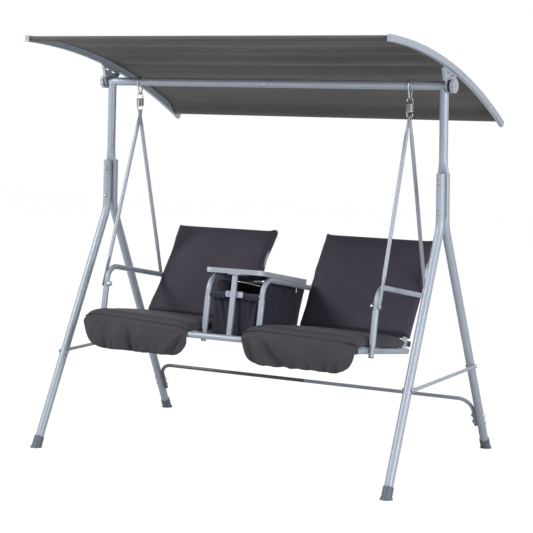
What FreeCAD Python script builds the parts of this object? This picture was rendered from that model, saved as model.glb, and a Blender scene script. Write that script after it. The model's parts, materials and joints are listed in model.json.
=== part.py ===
import FreeCAD, Part
import math
import os

# A two-seat garden swing with a tilting canopy, a centre console and a pivoting table.
# Millimetres. +X is the sitter's left (the viewer's right), -Y the front, +Z up.
# The origin is on the floor, midway between the four feet.

# Stand
FOOT_HALF_WIDTH = 807.5
FOOT_HALF_DEPTH = 515.0
BEAM_UNDERSIDE = 1520.0
POST_TOP_X = 782.0
STAND_TUBE = 35.0
STAND_WALL = 1.5
POST_FLAT = 14.0
POST_END = 1015.0
POST_ROUND_FROM = 1238.0
LEG_TOP = 1195.0
LEG_TOP_WALL = 3.0
LEG_BEND_RADIUS = 150.0
LEG_LIFT = 16.0
LEG_BOLT_HEIGHTS = (1160.0, 1040.0)
BEAM_END = 796.0
BEAM_JOINT_X = -40.0
BEAM_JOINT_LENGTH = 80.0
BEAM_JOINT_TAPER = 8.0
BEAM_SCREWS = (22.0, 58.0)
FOOT_WALL = 3.5
FOOT_SLEEVE = 42.0
FOOT_BASE = 54.0
FOOT_BASE_HEIGHT = 9.0
SIDE_BRACE_HEIGHT = 382.0
SIDE_BRACE_TUBE = 14.0
SIDE_BRACE_FLAT = 4.0
REAR_BRACE_HEIGHT = 225.0
REAR_BRACE_TUBE = 16.0
REAR_BRACE_DROP = 120.0
REAR_BRACE_BEND = 60.0
REAR_BRACE_BOLTS = (152.0, 124.0)
REAR_BRACE_JOINT = 40.0
REAR_BRACE_JOINT_X = -16.0
BRACE_WALL = 1.2
PLUG_DEPTH = 20.0
PLUG_FLANGE = 3.4

# Suspension
HANG_X = 637.0
HOOK_WIRE = 7.0
HOOK_BOTTOM = 1485.0
HOOK_BOTTOM_RADIUS = 9.5
SPRING_WIRE = 4.5
SPRING_RADIUS = 13.75
SPRING_TURNS = 6.5
SPRING_PITCH = 5.2
SPRING_BODY_BOTTOM = 1432.0
SPRING_TOP_ARCH = 12.0
SPRING_LOW_ARCH = 12.0
SPRING_LOW_RISE = 3.0
HANGER_APEX = 1406.0
HANGER_TUBE = 16.0
HANGER_FLAT = 4.0
HANGER_EYE = 14.0
HANGER_TAIL = 12.0
HANGER_LOW_FLAT = 95.0
HANGER_TOP_FLAT = 44.0
HANGER_TAPER = 25.0
HANGER_STAND_OFF = 0.8

# Canopy
ARM_FRONT = (-580.0, 1702.0)
ARM_REAR = (586.0, 1384.0)
ARM_RISE = 68.0
ARM_X = 805.0
ARM_HEIGHT = 25.0
ARM_WIDTH = 16.0
ARM_WALL = 1.2
ARM_CAP = 4.0
CANOPY_TUBE = 16.0
FRONT_TUBE_INSET = 16.0
REAR_TUBE_INSET = 44.0
CLOTH = 2.0
CLOTH_FOLDS = 10
CLOTH_FOLD_DEPTH = 3.0
CLOTH_FLAT_FOLDS = 4
BRACKET_PLATE = 2.5
BRACKET_FRONT = -57.0
BRACKET_REAR = 78.0
BRACKET_ROUND = 30.0
BRACKET_LIP = 9.0
BRACKET_SLOT_LENGTH = 22.0
BRACKET_SLOT_WIDTH = 6.0
BRACKET_SLOT_DROP = 12.0
KNOB_DIAMETER = 60.0
KNOB_LOBES = 8
KNOB_LOBE_DEPTH = 4.0
KNOB_HEIGHT = 16.0
KNOB_HUB = 22.0
KNOB_HUB_HEIGHT = 2.5
KNOB_COLLAR = 50.0
KNOB_COLLAR_HEIGHT = 11.0
STUD = 8.0

# Seats
SEAT_TILT = 7.7
FRONT_RAIL_Y = -405.0
FRONT_RAIL_Z = 525.5
RAIL_TUBE = 25.0
RAIL_WALL = 1.2
RAIL_LENGTH = 508.0
OUTER_RAIL_X = 606.0
INNER_RAIL_X = 150.0
REAR_RAIL_RISE = 45.0
BACK_FOOT = 459.0
BACK_RECLINE = 34.0
BACK_TUBE = 22.0
BACK_TOP = 488.0
BACK_BEND = 45.0
BACK_PAD_FROM = 58.0
BACK_PAD_TO = 507.0
BACK_PAD_MARGIN = 20.0
BACK_PAD_FRONT = 38.0
BACK_PAD_REAR = 20.0
BACK_PAD_CROWN = 8.0
BACK_PAD_SIDE = 8.0
BACK_PAD_DRAW = 9.0
PAD_THICK = 50.0
PAD_CROWN = 8.0
PAD_FRONT = -27.0
PAD_REAR = 450.0
PAD_DRAW = 6.0
PAD_MARGIN = 20.0
FLAP_BOTTOM = 428.0
FLAP_THICK = 15.0
FLAP_MARGIN = 21.0
FLAP_CORNER = 75.0
FLAP_FOLDS = 4
FLAP_FOLD_DEPTH = 5.0

# Armrests and console
ARMREST_X = 630.0
CONSOLE_X = 126.0
ARMREST_TUBE = 22.0
ARMREST_WALL = 1.2
ARMREST_TILT = 10.5
ARMREST_BOLT_Y = -259.0
ARMREST_BOLT_Z = 682.0
ARMREST_BOTTOM = -197.0
ARMREST_TOP = 77.5
CONSOLE_TOP = 71.0
ARMREST_BEND = 62.0
ARMREST_LENGTH = 466.0
ARMREST_KNOB = 20.0
ARMREST_KNOB_SKIRT = 6.0
ARMREST_KNOB_DOME = 9.0
CONSOLE_BAR = 12.0
CROSSBAR_DROP = 176.0
POST_WIDTH = 22.0
POST_DEPTH = 12.0
POST_WALL = 1.5
POST_BELOW = 190.0
CLAMP_WIDTH = 80.0
CLAMP_HEIGHT = 24.0
CLAMP_PLATE = 2.0
CLAMP_SCREW = 29.0
TABLE_WIDTH = 260.0
TABLE_LENGTH = 400.0
TABLE_THICK = 20.0
TABLE_FRONT = 12.5
TABLE_RIM = 16.0
TABLE_RECESS = 2.0
TABLE_CORNER = 6.0
PIVOT_PIN = 8.0
PIVOT_PLATE = 56.0
PIVOT_PLATE_THICK = 3.0
PIVOT_DEPTH = 40.0
BAG_FRONT_TOP = -2.0
BAG_SHOULDER = 45.0
BAG_BOTTOM = -186.0
BAG_REAR_TOP = 382.0
BAG_REAR_BOTTOM = 340.0
BAG_HALF_WIDTH = 109.0
BAG_WALL = 3.0
BAG_HEM_GAP = 4.0

# Fasteners and fits
BOLT = 8.0
SCREW = 5.0
HEAD_HEIGHT = 4.5
GAP = 0.3
RUN = 0.05

V = FreeCAD.Vector
X_AXIS = V(1, 0, 0)
Y_AXIS = V(0, 1, 0)
Z_AXIS = V(0, 0, 1)
SIDES = (("left", -1), ("right", 1))

BEAM_AXIS = BEAM_UNDERSIDE + STAND_TUBE / 2
SPLAY = math.degrees(math.atan((FOOT_HALF_WIDTH - POST_TOP_X) / BEAM_UNDERSIDE))
LEG_OFFSET = POST_FLAT / 2 + STAND_TUBE / 2 + GAP
LEG_SLOPE = math.atan(0.498)
LEG_BEND = (FOOT_HALF_DEPTH - LEG_OFFSET) / math.tan(LEG_SLOPE)


# Small helpers
def save(name, shape):
    """Write one piece to its own file."""
    shape.exportStep("parts/" + name + ".step")


def rod(start, end, diameter):
    """A solid round bar from one point to another."""
    line = end - start
    return Part.makeCylinder(diameter / 2, line.Length, start, line)


def path(points, bend):
    """Straight runs joined by tangent arcs of one bend radius."""
    edges = []
    here = points[0]
    for before, corner, after in zip(points, points[1:], points[2:]):
        towards = (corner - before).normalize()
        away = (after - corner).normalize()
        turn = towards.getAngle(away)
        cut = bend * math.tan(turn / 2)
        first = corner - towards * cut
        last = corner + away * cut
        inward = (away - towards).normalize()
        middle = corner + inward * (bend / math.cos(turn / 2) - bend)
        edges.append(Part.LineSegment(here, first).toShape())
        edges.append(Part.Arc(first, middle, last).toShape())
        here = last
    edges.append(Part.LineSegment(here, points[-1]).toShape())
    return Part.Wire(edges)


def sweep(wire, start, direction, diameter):
    """A round bar along a wire."""
    circle = Part.Wire([Part.makeCircle(diameter / 2, start, direction)])
    return wire.makePipeShell([circle], True, False)


def tube(points, diameter, wall, bend=0.0):
    """A hollow round tube along straight runs and bends."""
    if len(points) == 2:
        outer = rod(points[0], points[1], diameter)
        return outer.cut(rod(points[0], points[1], diameter - 2 * wall))
    wire = path(points, bend)
    direction = points[1] - points[0]
    outer = sweep(wire, points[0], direction, diameter)
    return outer.cut(sweep(wire, points[0], direction, diameter - 2 * wall))


def fuse(shapes):
    """One solid from shapes that share volume or faces."""
    joined = shapes[0].multiFuse(shapes[1:])
    return joined.removeSplitter()


def bolt(start, end, shank, head):
    """A through bolt with a domed head at its start and a domed nut at its end."""
    line = (end - start).normalize()
    caps = []
    for seat, away in ((start, line * -1), (end, line)):
        caps.append(Part.makeCone(head / 2, head / 3, HEAD_HEIGHT, seat, away))
    return fuse([rod(start, end, shank)] + caps)


def screw(seat, inward, length, shank, head):
    """A pan-head screw, its head outside the seat."""
    inward = V(inward).normalize()
    cap = Part.makeCone(head / 2, head / 3, HEAD_HEIGHT / 2, seat, inward * -1)
    return fuse([rod(seat, seat + inward * length, shank), cap])


def hole(middle, direction, diameter, length):
    """A round cutter centred on a point."""
    direction = V(direction).normalize()
    return rod(middle - direction * (length / 2), middle + direction * (length / 2), diameter)


def flat_width(diameter, flat):
    """Width of a round tube once it is pressed to a given thickness."""
    return math.pi * (diameter - flat) / 2 + flat


def round_section(radius, height):
    """A circle in six arcs, to match the six edges of a pressed section."""
    angles = (45, 135, 180, 225, 315, 360, 405)
    edges = []
    for start, end in zip(angles, angles[1:]):
        turns = [math.radians(a) for a in (start, (start + end) / 2, end)]
        points = [V(radius * math.cos(a), radius * math.sin(a), height) for a in turns]
        edges.append(Part.Arc(*points).toShape())
    return Part.Wire(edges)


def pressed_section(width, flat, height):
    """A pressed tube's outline: two straight sides and rounded ends, wide along X."""
    half = (width - flat) / 2
    radius = flat / 2
    lean = radius * math.sqrt(0.5)
    corners = [V(half, radius, height), V(-half, radius, height), V(-half - radius, 0, height),
               V(-half, -radius, height), V(half, -radius, height), V(half + radius, 0, height)]
    bulges = [None, V(-half - lean, lean, height), V(-half - lean, -lean, height),
              None, V(half + lean, -lean, height), V(half + lean, lean, height)]
    edges = []
    for index, bulge in enumerate(bulges):
        start = corners[index]
        end = corners[(index + 1) % 6]
        if bulge is None:
            edges.append(Part.LineSegment(start, end).toShape())
        else:
            edges.append(Part.Arc(start, bulge, end).toShape())
    return Part.Wire(edges)


def pressed_bar(diameter, flat, sections):
    """A solid bar along Z that is round or pressed flat between the given heights."""
    width = flat_width(diameter, flat)
    bars = []
    for (low, low_kind), (high, high_kind) in zip(sections, sections[1:]):
        wires = []
        for height, kind in ((low, low_kind), (high, high_kind)):
            if kind == "round":
                wires.append(round_section(diameter / 2, height))
            else:
                wires.append(pressed_section(width, flat, height))
        bars.append(Part.makeLoft(wires, True, True))
    return fuse(bars)


def pressed_tube(diameter, wall, flat, sections):
    """A hollow tube along Z with stretches pressed flat."""
    bore = pressed_bar(diameter - 2 * wall, flat - 2 * wall, sections)
    return pressed_bar(diameter, flat, sections).cut(bore)


def end_rounding(diameter, eye, tail, side):
    """A cutter that rounds a pressed end about its eye."""
    block = Part.makeBox(4 * diameter, 4 * diameter, 4 * diameter)
    low = eye if side > 0 else eye - 4 * diameter
    block.translate(V(-2 * diameter, -2 * diameter, low))
    return block.cut(Part.makeCylinder(tail, 4 * diameter, V(0, -2 * diameter, eye), Y_AXIS))


class Slant:
    """A leaning frame in a plane X = constant: back runs rearwards, up runs square to it."""

    def __init__(self, y, z, tilt):
        angle = math.radians(tilt)
        self.origin = V(0, y, z)
        self.back = V(0, math.cos(angle), -math.sin(angle))
        self.up = V(0, math.sin(angle), math.cos(angle))
        self.tilt = tilt

    def at(self, x, back, up):
        """The point at a distance along and across this frame."""
        return self.origin + V(x, 0, 0) + self.back * back + self.up * up

    def place(self, shape):
        """Set a shape drawn with X across, Y back and Z up into this frame."""
        placed = shape.copy()
        placed.rotate(V(0, 0, 0), X_AXIS, -self.tilt)
        placed.translate(self.origin)
        return placed


SEAT = Slant(FRONT_RAIL_Y, FRONT_RAIL_Z, SEAT_TILT)
CONSOLE = Slant(ARMREST_BOLT_Y, ARMREST_BOLT_Z, ARMREST_TILT)
BACK_ORIGIN = SEAT.at(0, BACK_FOOT, 0)
BACK = Slant(BACK_ORIGIN.y, BACK_ORIGIN.z, BACK_RECLINE)


# Stand
def to_side(shape, side):
    """Lean a side frame drawn in the plane X = 0 and carry it to its side."""
    placed = shape.copy()
    placed.rotate(V(0, 0, 0), Y_AXIS, -side * SPLAY)
    placed.translate(V(side * FOOT_HALF_WIDTH, 0, 0))
    return placed


def leg_axis(sign, height):
    """A point on a leg's axis below its bend, in the side frame's own plane."""
    return V(0, sign * (FOOT_HALF_DEPTH - height * math.tan(LEG_SLOPE)), height)


def leg_bolt_holes():
    """Cutters for the long bolts through both legs and the post."""
    length = 4 * STAND_TUBE + 2 * POST_FLAT
    return [hole(V(0, 0, height), Y_AXIS, BOLT + 2 * GAP, length) for height in LEG_BOLT_HEIGHTS]


def brace_bolt_points(sign):
    """Where bolts cross a leg: the side brace, and on rear legs the rear brace too."""
    heights = [SIDE_BRACE_HEIGHT]
    if sign > 0:
        heights += REAR_BRACE_BOLTS
    return [leg_axis(sign, height) for height in heights]


def brace_bolt_ends(side, point, rear_brace):
    """Head and nut seats of a bolt across a leg, in the side frame's own plane."""
    inner = STAND_TUBE / 2 + GAP
    outer = STAND_TUBE / 2 + GAP
    if rear_brace:
        inner += REAR_BRACE_TUBE + GAP
    else:
        outer += SIDE_BRACE_FLAT + GAP
    return point + V(side * outer, 0, 0), point - V(side * inner, 0, 0)


def build_stand(name, side):
    """One side frame: post, two legs, side brace and half the beam's fittings."""
    sections = [(POST_END, "flat"), (LEG_TOP, "flat"), (POST_ROUND_FROM, "round"),
                (BEAM_AXIS, "round")]
    post = pressed_tube(STAND_TUBE, STAND_WALL, POST_FLAT, sections)
    for cutter in leg_bolt_holes():
        post = post.cut(cutter)
    cope = hole(V(side * BEAM_END, 0, BEAM_AXIS), X_AXIS, STAND_TUBE + 2 * GAP, BEAM_END)
    save(name + "_post", to_side(post, side).cut(cope))

    for place, sign in (("front", -1), ("rear", 1)):
        top = V(0, sign * LEG_OFFSET, LEG_TOP)
        corner = V(0, sign * LEG_OFFSET, LEG_BEND)
        end = leg_axis(sign, LEG_LIFT)
        lid = top - V(0, 0, LEG_TOP_WALL)
        wire = path([top, corner, end], LEG_BEND_RADIUS)
        bore = path([lid, corner, end], LEG_BEND_RADIUS)
        leg = sweep(wire, top, Z_AXIS, STAND_TUBE)
        leg = leg.cut(sweep(bore, lid, Z_AXIS, STAND_TUBE - 2 * STAND_WALL))
        for cutter in leg_bolt_holes():
            leg = leg.cut(cutter)
        for point in brace_bolt_points(sign):
            leg = leg.cut(hole(point, X_AXIS, BOLT + 2 * GAP, 2 * STAND_TUBE))
        save(name + "_" + place + "_leg", to_side(leg, side))

    front = leg_axis(-1, SIDE_BRACE_HEIGHT)
    length = 2 * abs(front.y)
    tail = flat_width(SIDE_BRACE_TUBE, SIDE_BRACE_FLAT) / 2
    sections = [(-tail, "flat"), (2 * tail, "flat"), (4 * tail, "round"),
                (length - 4 * tail, "round"), (length - 2 * tail, "flat"), (length + tail, "flat")]
    brace = pressed_tube(SIDE_BRACE_TUBE, BRACE_WALL, SIDE_BRACE_FLAT, sections)
    for eye, end_side in ((0, -1), (length, 1)):
        brace = brace.cut(end_rounding(SIDE_BRACE_TUBE, eye, tail, end_side))
        brace = brace.cut(hole(V(0, 0, eye), Y_AXIS, BOLT + 2 * GAP, 2 * STAND_TUBE))
    brace.rotate(V(0, 0, 0), Z_AXIS, 90)
    brace.rotate(V(0, 0, 0), X_AXIS, -90)
    outside = STAND_TUBE / 2 + GAP + SIDE_BRACE_FLAT / 2
    brace.translate(V(side * outside, front.y, front.z))
    save(name + "_side_brace", to_side(brace, side))


def build_beam_plugs():
    """Plugs in the beam's ends, bored for the knobs' studs."""
    plugs = []
    for name, side in SIDES:
        insert = rod(V(BEAM_END - PLUG_DEPTH, 0, BEAM_AXIS), V(BEAM_END, 0, BEAM_AXIS),
                     STAND_TUBE - 2 * STAND_WALL - 2 * GAP)
        flange = rod(V(BEAM_END, 0, BEAM_AXIS), V(BEAM_END + PLUG_FLANGE, 0, BEAM_AXIS), STAND_TUBE)
        bore = hole(V(BEAM_END, 0, BEAM_AXIS), X_AXIS, STUD + 2 * RUN, 4 * PLUG_DEPTH)
        plugs.append(mirrored(fuse([insert, flange]).cut(bore), side))
    save("beam_plugs", Part.makeCompound(plugs))


def mirrored(shape, side):
    """A shape drawn on the right, kept there or mirrored to the left."""
    if side > 0:
        return shape
    return shape.mirror(V(0, 0, 0), X_AXIS)


def build_feet():
    """Four plastic cups with flared bases on the leg ends."""
    feet = []
    floor = Part.makeBox(4000, 4000, 200, V(-2000, -2000, -200))
    for name, side in SIDES:
        for sign in (-1, 1):
            low = leg_axis(sign, -LEG_LIFT)
            top = leg_axis(sign, FOOT_SLEEVE)
            end = leg_axis(sign, LEG_LIFT)
            sleeve = rod(low, top, STAND_TUBE + 2 * FOOT_WALL)
            ground = leg_axis(sign, 0) - V(0, 0, 2)
            flare = Part.makeCone(FOOT_BASE / 2, STAND_TUBE / 2 + FOOT_WALL, FOOT_BASE_HEIGHT + 2, ground)
            pocket = rod(end, leg_axis(sign, 3 * FOOT_SLEEVE), STAND_TUBE + 2 * GAP)
            foot = to_side(fuse([sleeve, flare]).cut(pocket), side)
            feet.append(foot.cut(floor))
    save("feet", Part.makeCompound(feet))


def swaged_joint(radius, wall, length, joint, taper):
    """A half tube along X whose end is drawn in to slide into the other half."""
    inside = radius - wall - GAP
    outline = [V(-length, 0, radius), V(-taper, 0, radius), V(0, 0, inside), V(joint, 0, inside),
               V(joint, 0, inside - wall), V(0, 0, inside - wall), V(-taper, 0, radius - wall),
               V(-length, 0, radius - wall), V(-length, 0, radius)]
    return Part.Face(Part.makePolygon(outline)).revolve(V(0, 0, 0), X_AXIS, 360)


def build_beam():
    """The top beam in two halves, joined by a drawn-in end and two screws."""
    left = swaged_joint(STAND_TUBE / 2, STAND_WALL, BEAM_END + BEAM_JOINT_X, BEAM_JOINT_LENGTH,
                        BEAM_JOINT_TAPER)
    left.translate(V(BEAM_JOINT_X, 0, BEAM_AXIS))
    right = tube([V(BEAM_JOINT_X + GAP, 0, BEAM_AXIS), V(BEAM_END, 0, BEAM_AXIS)], STAND_TUBE, STAND_WALL)
    screws = []
    for along in BEAM_SCREWS:
        x = BEAM_JOINT_X + along
        seat = V(x, -STAND_TUBE / 2 - GAP, BEAM_AXIS)
        cutter = hole(V(x, -STAND_TUBE / 2, BEAM_AXIS), Y_AXIS, SCREW + 2 * GAP, STAND_TUBE / 2)
        left = left.cut(cutter)
        right = right.cut(cutter)
        screws.append(screw(seat, Y_AXIS, 4 * STAND_WALL, SCREW, 2 * SCREW))
    save("left_beam", left)
    save("right_beam", right)
    save("beam_screws", Part.makeCompound(screws))


def build_rear_brace():
    """The low brace between the rear legs in two halves, its ends bent down along the legs."""
    inset = STAND_TUBE / 2 + REAR_BRACE_TUBE / 2 + GAP
    for name, side in SIDES:
        ends = []
        for height in (REAR_BRACE_HEIGHT, REAR_BRACE_HEIGHT - REAR_BRACE_DROP):
            marker = Part.Vertex(leg_axis(1, height) - V(side * inset, 0, 0))
            ends.append(to_side(marker, side).Point)
        middle = V(REAR_BRACE_JOINT_X + side * GAP, ends[0].y, ends[0].z)
        brace = tube([middle] + ends, REAR_BRACE_TUBE, BRACE_WALL, REAR_BRACE_BEND)
        for height in REAR_BRACE_BOLTS:
            cutter = hole(leg_axis(1, height), X_AXIS, BOLT + 2 * GAP, 4 * STAND_TUBE)
            brace = brace.cut(to_side(cutter, side))
        if side > 0:
            inner = REAR_BRACE_TUBE - 2 * BRACE_WALL
            stub = tube([middle - V(REAR_BRACE_JOINT, 0, 0), middle + V(REAR_BRACE_JOINT, 0, 0)],
                        inner - 2 * GAP, BRACE_WALL)
            collar = tube([middle, middle + V(REAR_BRACE_JOINT / 2, 0, 0)], inner, 2 * GAP)
            brace = fuse([brace, stub, collar])
        save(name + "_rear_brace", brace)


def build_stand_bolts():
    """Bolts that hold the legs to the posts and the braces to the legs."""
    long_bolts = []
    brace_bolts = []
    reach = LEG_OFFSET + STAND_TUBE / 2 + GAP
    for name, side in SIDES:
        for height in LEG_BOLT_HEIGHTS:
            item = bolt(V(0, -reach, height), V(0, reach, height), BOLT, 2 * BOLT)
            long_bolts.append(to_side(item, side))
        for sign in (-1, 1):
            for index, point in enumerate(brace_bolt_points(sign)):
                start, end = brace_bolt_ends(side, point, index > 0)
                brace_bolts.append(to_side(bolt(start, end, BOLT, 2 * BOLT), side))
    save("leg_bolts", Part.makeCompound(long_bolts))
    save("brace_bolts", Part.makeCompound(brace_bolts))


# Suspension
def build_hook(name, side):
    """A bent-wire link hung over the beam, closed to a narrow V below it."""
    x = side * HANG_X
    big = STAND_TUBE / 2 + HOOK_WIRE / 2 + GAP
    small = HOOK_BOTTOM_RADIUS
    low = HOOK_BOTTOM + small
    drop = (big - small) / (BEAM_AXIS - low)
    out = math.sqrt(1 - drop * drop)
    half = []
    for sign in (-1, 1):
        top = V(x, 0, BEAM_AXIS + big)
        shoulder = V(x, sign * big * out, BEAM_AXIS - big * drop)
        toe = V(x, sign * small * out, low - small * drop)
        lean = math.asin(drop)
        turn = (math.pi / 2 + lean) / 2
        over = V(x, sign * big * math.sin(turn), BEAM_AXIS + big * math.cos(turn))
        turn = (math.pi / 2 - lean) / 2
        under = V(x, sign * small * math.sin(turn), low - small * math.cos(turn))
        wire = Part.Wire([Part.Arc(top, over, shoulder).toShape(),
                          Part.LineSegment(shoulder, toe).toShape(),
                          Part.Arc(toe, under, V(x, 0, HOOK_BOTTOM)).toShape()])
        half.append(sweep(wire, top, Y_AXIS, HOOK_WIRE))
    save(name + "_beam_hook", fuse(half))


def arc_through(start, corner, end):
    """The arc tangent to start-corner and corner-end, or a straight run where they line up."""
    chord = end - start
    reach = (corner - start).Length
    ratio = min(1.0, chord.Length / 2 / reach)
    half_turn = math.acos(ratio)
    if half_turn < 1e-4:
        return Part.LineSegment(start, end).toShape()
    middle = (start + end) * 0.5
    share = math.tan(half_turn / 2) / math.tan(half_turn)
    return Part.Arc(start, middle + (corner - middle) * share, end).toShape()


def biarc(start, start_way, end, end_way):
    """Two tangent arcs from one point and direction to another."""
    line = end - start
    ways = start_way + end_way
    spread = 2 * (1 - start_way.dot(end_way))
    along = line.dot(ways)
    if spread < 1e-9:
        reach = line.dot(line) / (2 * along)
    else:
        reach = (math.sqrt(along * along + spread * line.dot(line)) - along) / spread
    first = start + start_way * reach
    second = end - end_way * reach
    joint = (first + second) * 0.5
    return [arc_through(start, first, joint), arc_through(joint, second, end)]


def spring_stations():
    """Points and directions along the wire, from the upper end to the lower end."""
    body_top = SPRING_BODY_BOTTOM + SPRING_TURNS * SPRING_PITCH
    hook_top = HOOK_BOTTOM + HOOK_WIRE / 2 + SPRING_WIRE / 2 + GAP
    high = hook_top - SPRING_TOP_ARCH
    low = HANGER_APEX + SPRING_LOW_RISE + SPRING_LOW_ARCH
    up = V(0, 0, 1)
    down = V(0, 0, -1)
    stations = [(V(-SPRING_TOP_ARCH, 0, high - SPRING_WIRE), up), (V(-SPRING_TOP_ARCH, 0, high), up),
                (V(0, 0, hook_top), V(1, 0, 0)), (V(SPRING_TOP_ARCH, 0, high), down)]
    fall = SPRING_PITCH / (2 * math.pi * SPRING_RADIUS)
    for quarter in range(int(SPRING_TURNS * 4) + 1):
        angle = quarter * math.pi / 2
        point = V(SPRING_RADIUS * math.cos(angle), SPRING_RADIUS * math.sin(angle),
                  body_top - SPRING_PITCH * quarter / 4)
        way = V(-math.sin(angle), math.cos(angle), -fall).normalize()
        stations.append((point, way))
    stations += [(V(-SPRING_LOW_ARCH, 0, low), down), (V(0, 0, low - SPRING_LOW_ARCH), V(1, 0, 0)),
                 (V(SPRING_LOW_ARCH, 0, low), up), (V(SPRING_LOW_ARCH, 0, low + SPRING_WIRE), up)]
    return stations


def least_gap(wire, diameter):
    """The least clear distance between turns of one wire, measured on points."""
    points = wire.discretize(Distance=1.5)
    skip = int(math.pi * SPRING_RADIUS / 1.5)
    best = 1e9
    for index, point in enumerate(points):
        for other in points[index + skip:]:
            best = min(best, point.distanceToPoint(other))
    return best - diameter


def build_springs():
    """Close-wound extension springs with open end hooks, one unbroken wire each."""
    stations = spring_stations()
    edges = []
    for (start, start_way), (end, end_way) in zip(stations, stations[1:]):
        edges += biarc(start, start_way, end, end_way)
    wire = Part.Wire(edges)
    spring = sweep(wire, stations[0][0], Z_AXIS, SPRING_WIRE)
    print("spring least gap", round(least_gap(wire, SPRING_WIRE), 2), "volume share",
          round(spring.Volume / (math.pi * SPRING_WIRE ** 2 / 4 * wire.Length), 4))
    for name, side in SIDES:
        placed = spring.copy()
        placed.translate(V(side * HANG_X, 0, 0))
        save(name + "_spring", placed)


def build_hangers(name, side):
    """Two pressed-end tubes from the spring down to the armrest, front and rear."""
    lows = (("front", CONSOLE.at(0, 0, 0), -1), ("rear", back_cross(ARMREST_X), 1))
    low_x = ARMREST_X + ARMREST_TUBE / 2 + GAP + HANGER_STAND_OFF + HANGER_FLAT / 2
    for place, low, shift in lows:
        apex_x = HANG_X + shift * (HANGER_FLAT + GAP) / 2
        start = V(side * low_x, low.y, low.z)
        end = V(side * apex_x, 0, HANGER_APEX)
        length = (end - start).Length
        tail = flat_width(HANGER_TUBE, HANGER_FLAT) / 2
        top_flat = length - HANGER_TOP_FLAT
        sections = [(-tail, "flat"), (HANGER_LOW_FLAT, "flat"), (HANGER_LOW_FLAT + HANGER_TAPER, "round"),
                    (top_flat - HANGER_TAPER, "round"), (top_flat, "flat"), (length + HANGER_TAIL, "flat")]
        bar = pressed_tube(HANGER_TUBE, BRACE_WALL, HANGER_FLAT, sections)
        bar = bar.cut(end_rounding(HANGER_TUBE, 0, tail, -1))
        bar = bar.cut(end_rounding(HANGER_TUBE, length, HANGER_TAIL, 1))
        bar = bar.cut(hole(V(0, 0, 0), Y_AXIS, BOLT + 2 * GAP, 3 * HANGER_TUBE))
        bar = bar.cut(hole(V(0, 0, length), Y_AXIS, HANGER_EYE, 3 * HANGER_TUBE))
        line = (end - start).normalize()
        across = X_AXIS.cross(line).normalize()
        thin = line.cross(across)
        matrix = FreeCAD.Matrix(across.x, thin.x, line.x, start.x, across.y, thin.y, line.y, start.y,
                                across.z, thin.z, line.z, start.z, 0, 0, 0, 1)
        bar.Placement = FreeCAD.Placement(matrix)
        save(name + "_" + place + "_hanger", bar)


# Canopy
def arm_circle():
    """Centre and radius of the canopy's arc in the YZ plane."""
    front = V(0, *ARM_FRONT)
    rear = V(0, *ARM_REAR)
    chord = rear - front
    radius = chord.Length ** 2 / (8 * ARM_RISE) + ARM_RISE / 2
    normal = V(0, -chord.z, chord.y).normalize()
    centre = (front + rear) * 0.5 - normal * (radius - ARM_RISE)
    return centre, radius


ARM_CENTRE, ARM_RADIUS = arm_circle()
ARM_START = math.atan2(ARM_FRONT[0] - ARM_CENTRE.y, ARM_FRONT[1] - ARM_CENTRE.z)
ARM_STOP = math.atan2(ARM_REAR[0] - ARM_CENTRE.y, ARM_REAR[1] - ARM_CENTRE.z)


def on_arc(angle, offset=0.0, x=0.0):
    """A point on the canopy's arc, or a distance above it."""
    radius = ARM_RADIUS + offset
    return V(x, ARM_CENTRE.y + radius * math.sin(angle), ARM_CENTRE.z + radius * math.cos(angle))


def arc_angle(start, distance):
    """The angle reached by going a distance along the arc."""
    return start + distance / ARM_RADIUS


def arc_band(low, high, start, stop):
    """A face between two offsets of the canopy's arc."""
    middle = (start + stop) / 2
    edges = [Part.Arc(on_arc(start, low), on_arc(middle, low), on_arc(stop, low)).toShape(),
             Part.LineSegment(on_arc(stop, low), on_arc(stop, high)).toShape(),
             Part.Arc(on_arc(stop, high), on_arc(middle, high), on_arc(start, high)).toShape(),
             Part.LineSegment(on_arc(start, high), on_arc(start, low)).toShape()]
    return Part.Face(Part.Wire(edges))


def canopy_tube_angles():
    """Where the front and rear cross tubes lie along the arms."""
    return arc_angle(ARM_START, FRONT_TUBE_INSET), arc_angle(ARM_STOP, -REAR_TUBE_INSET)


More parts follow.
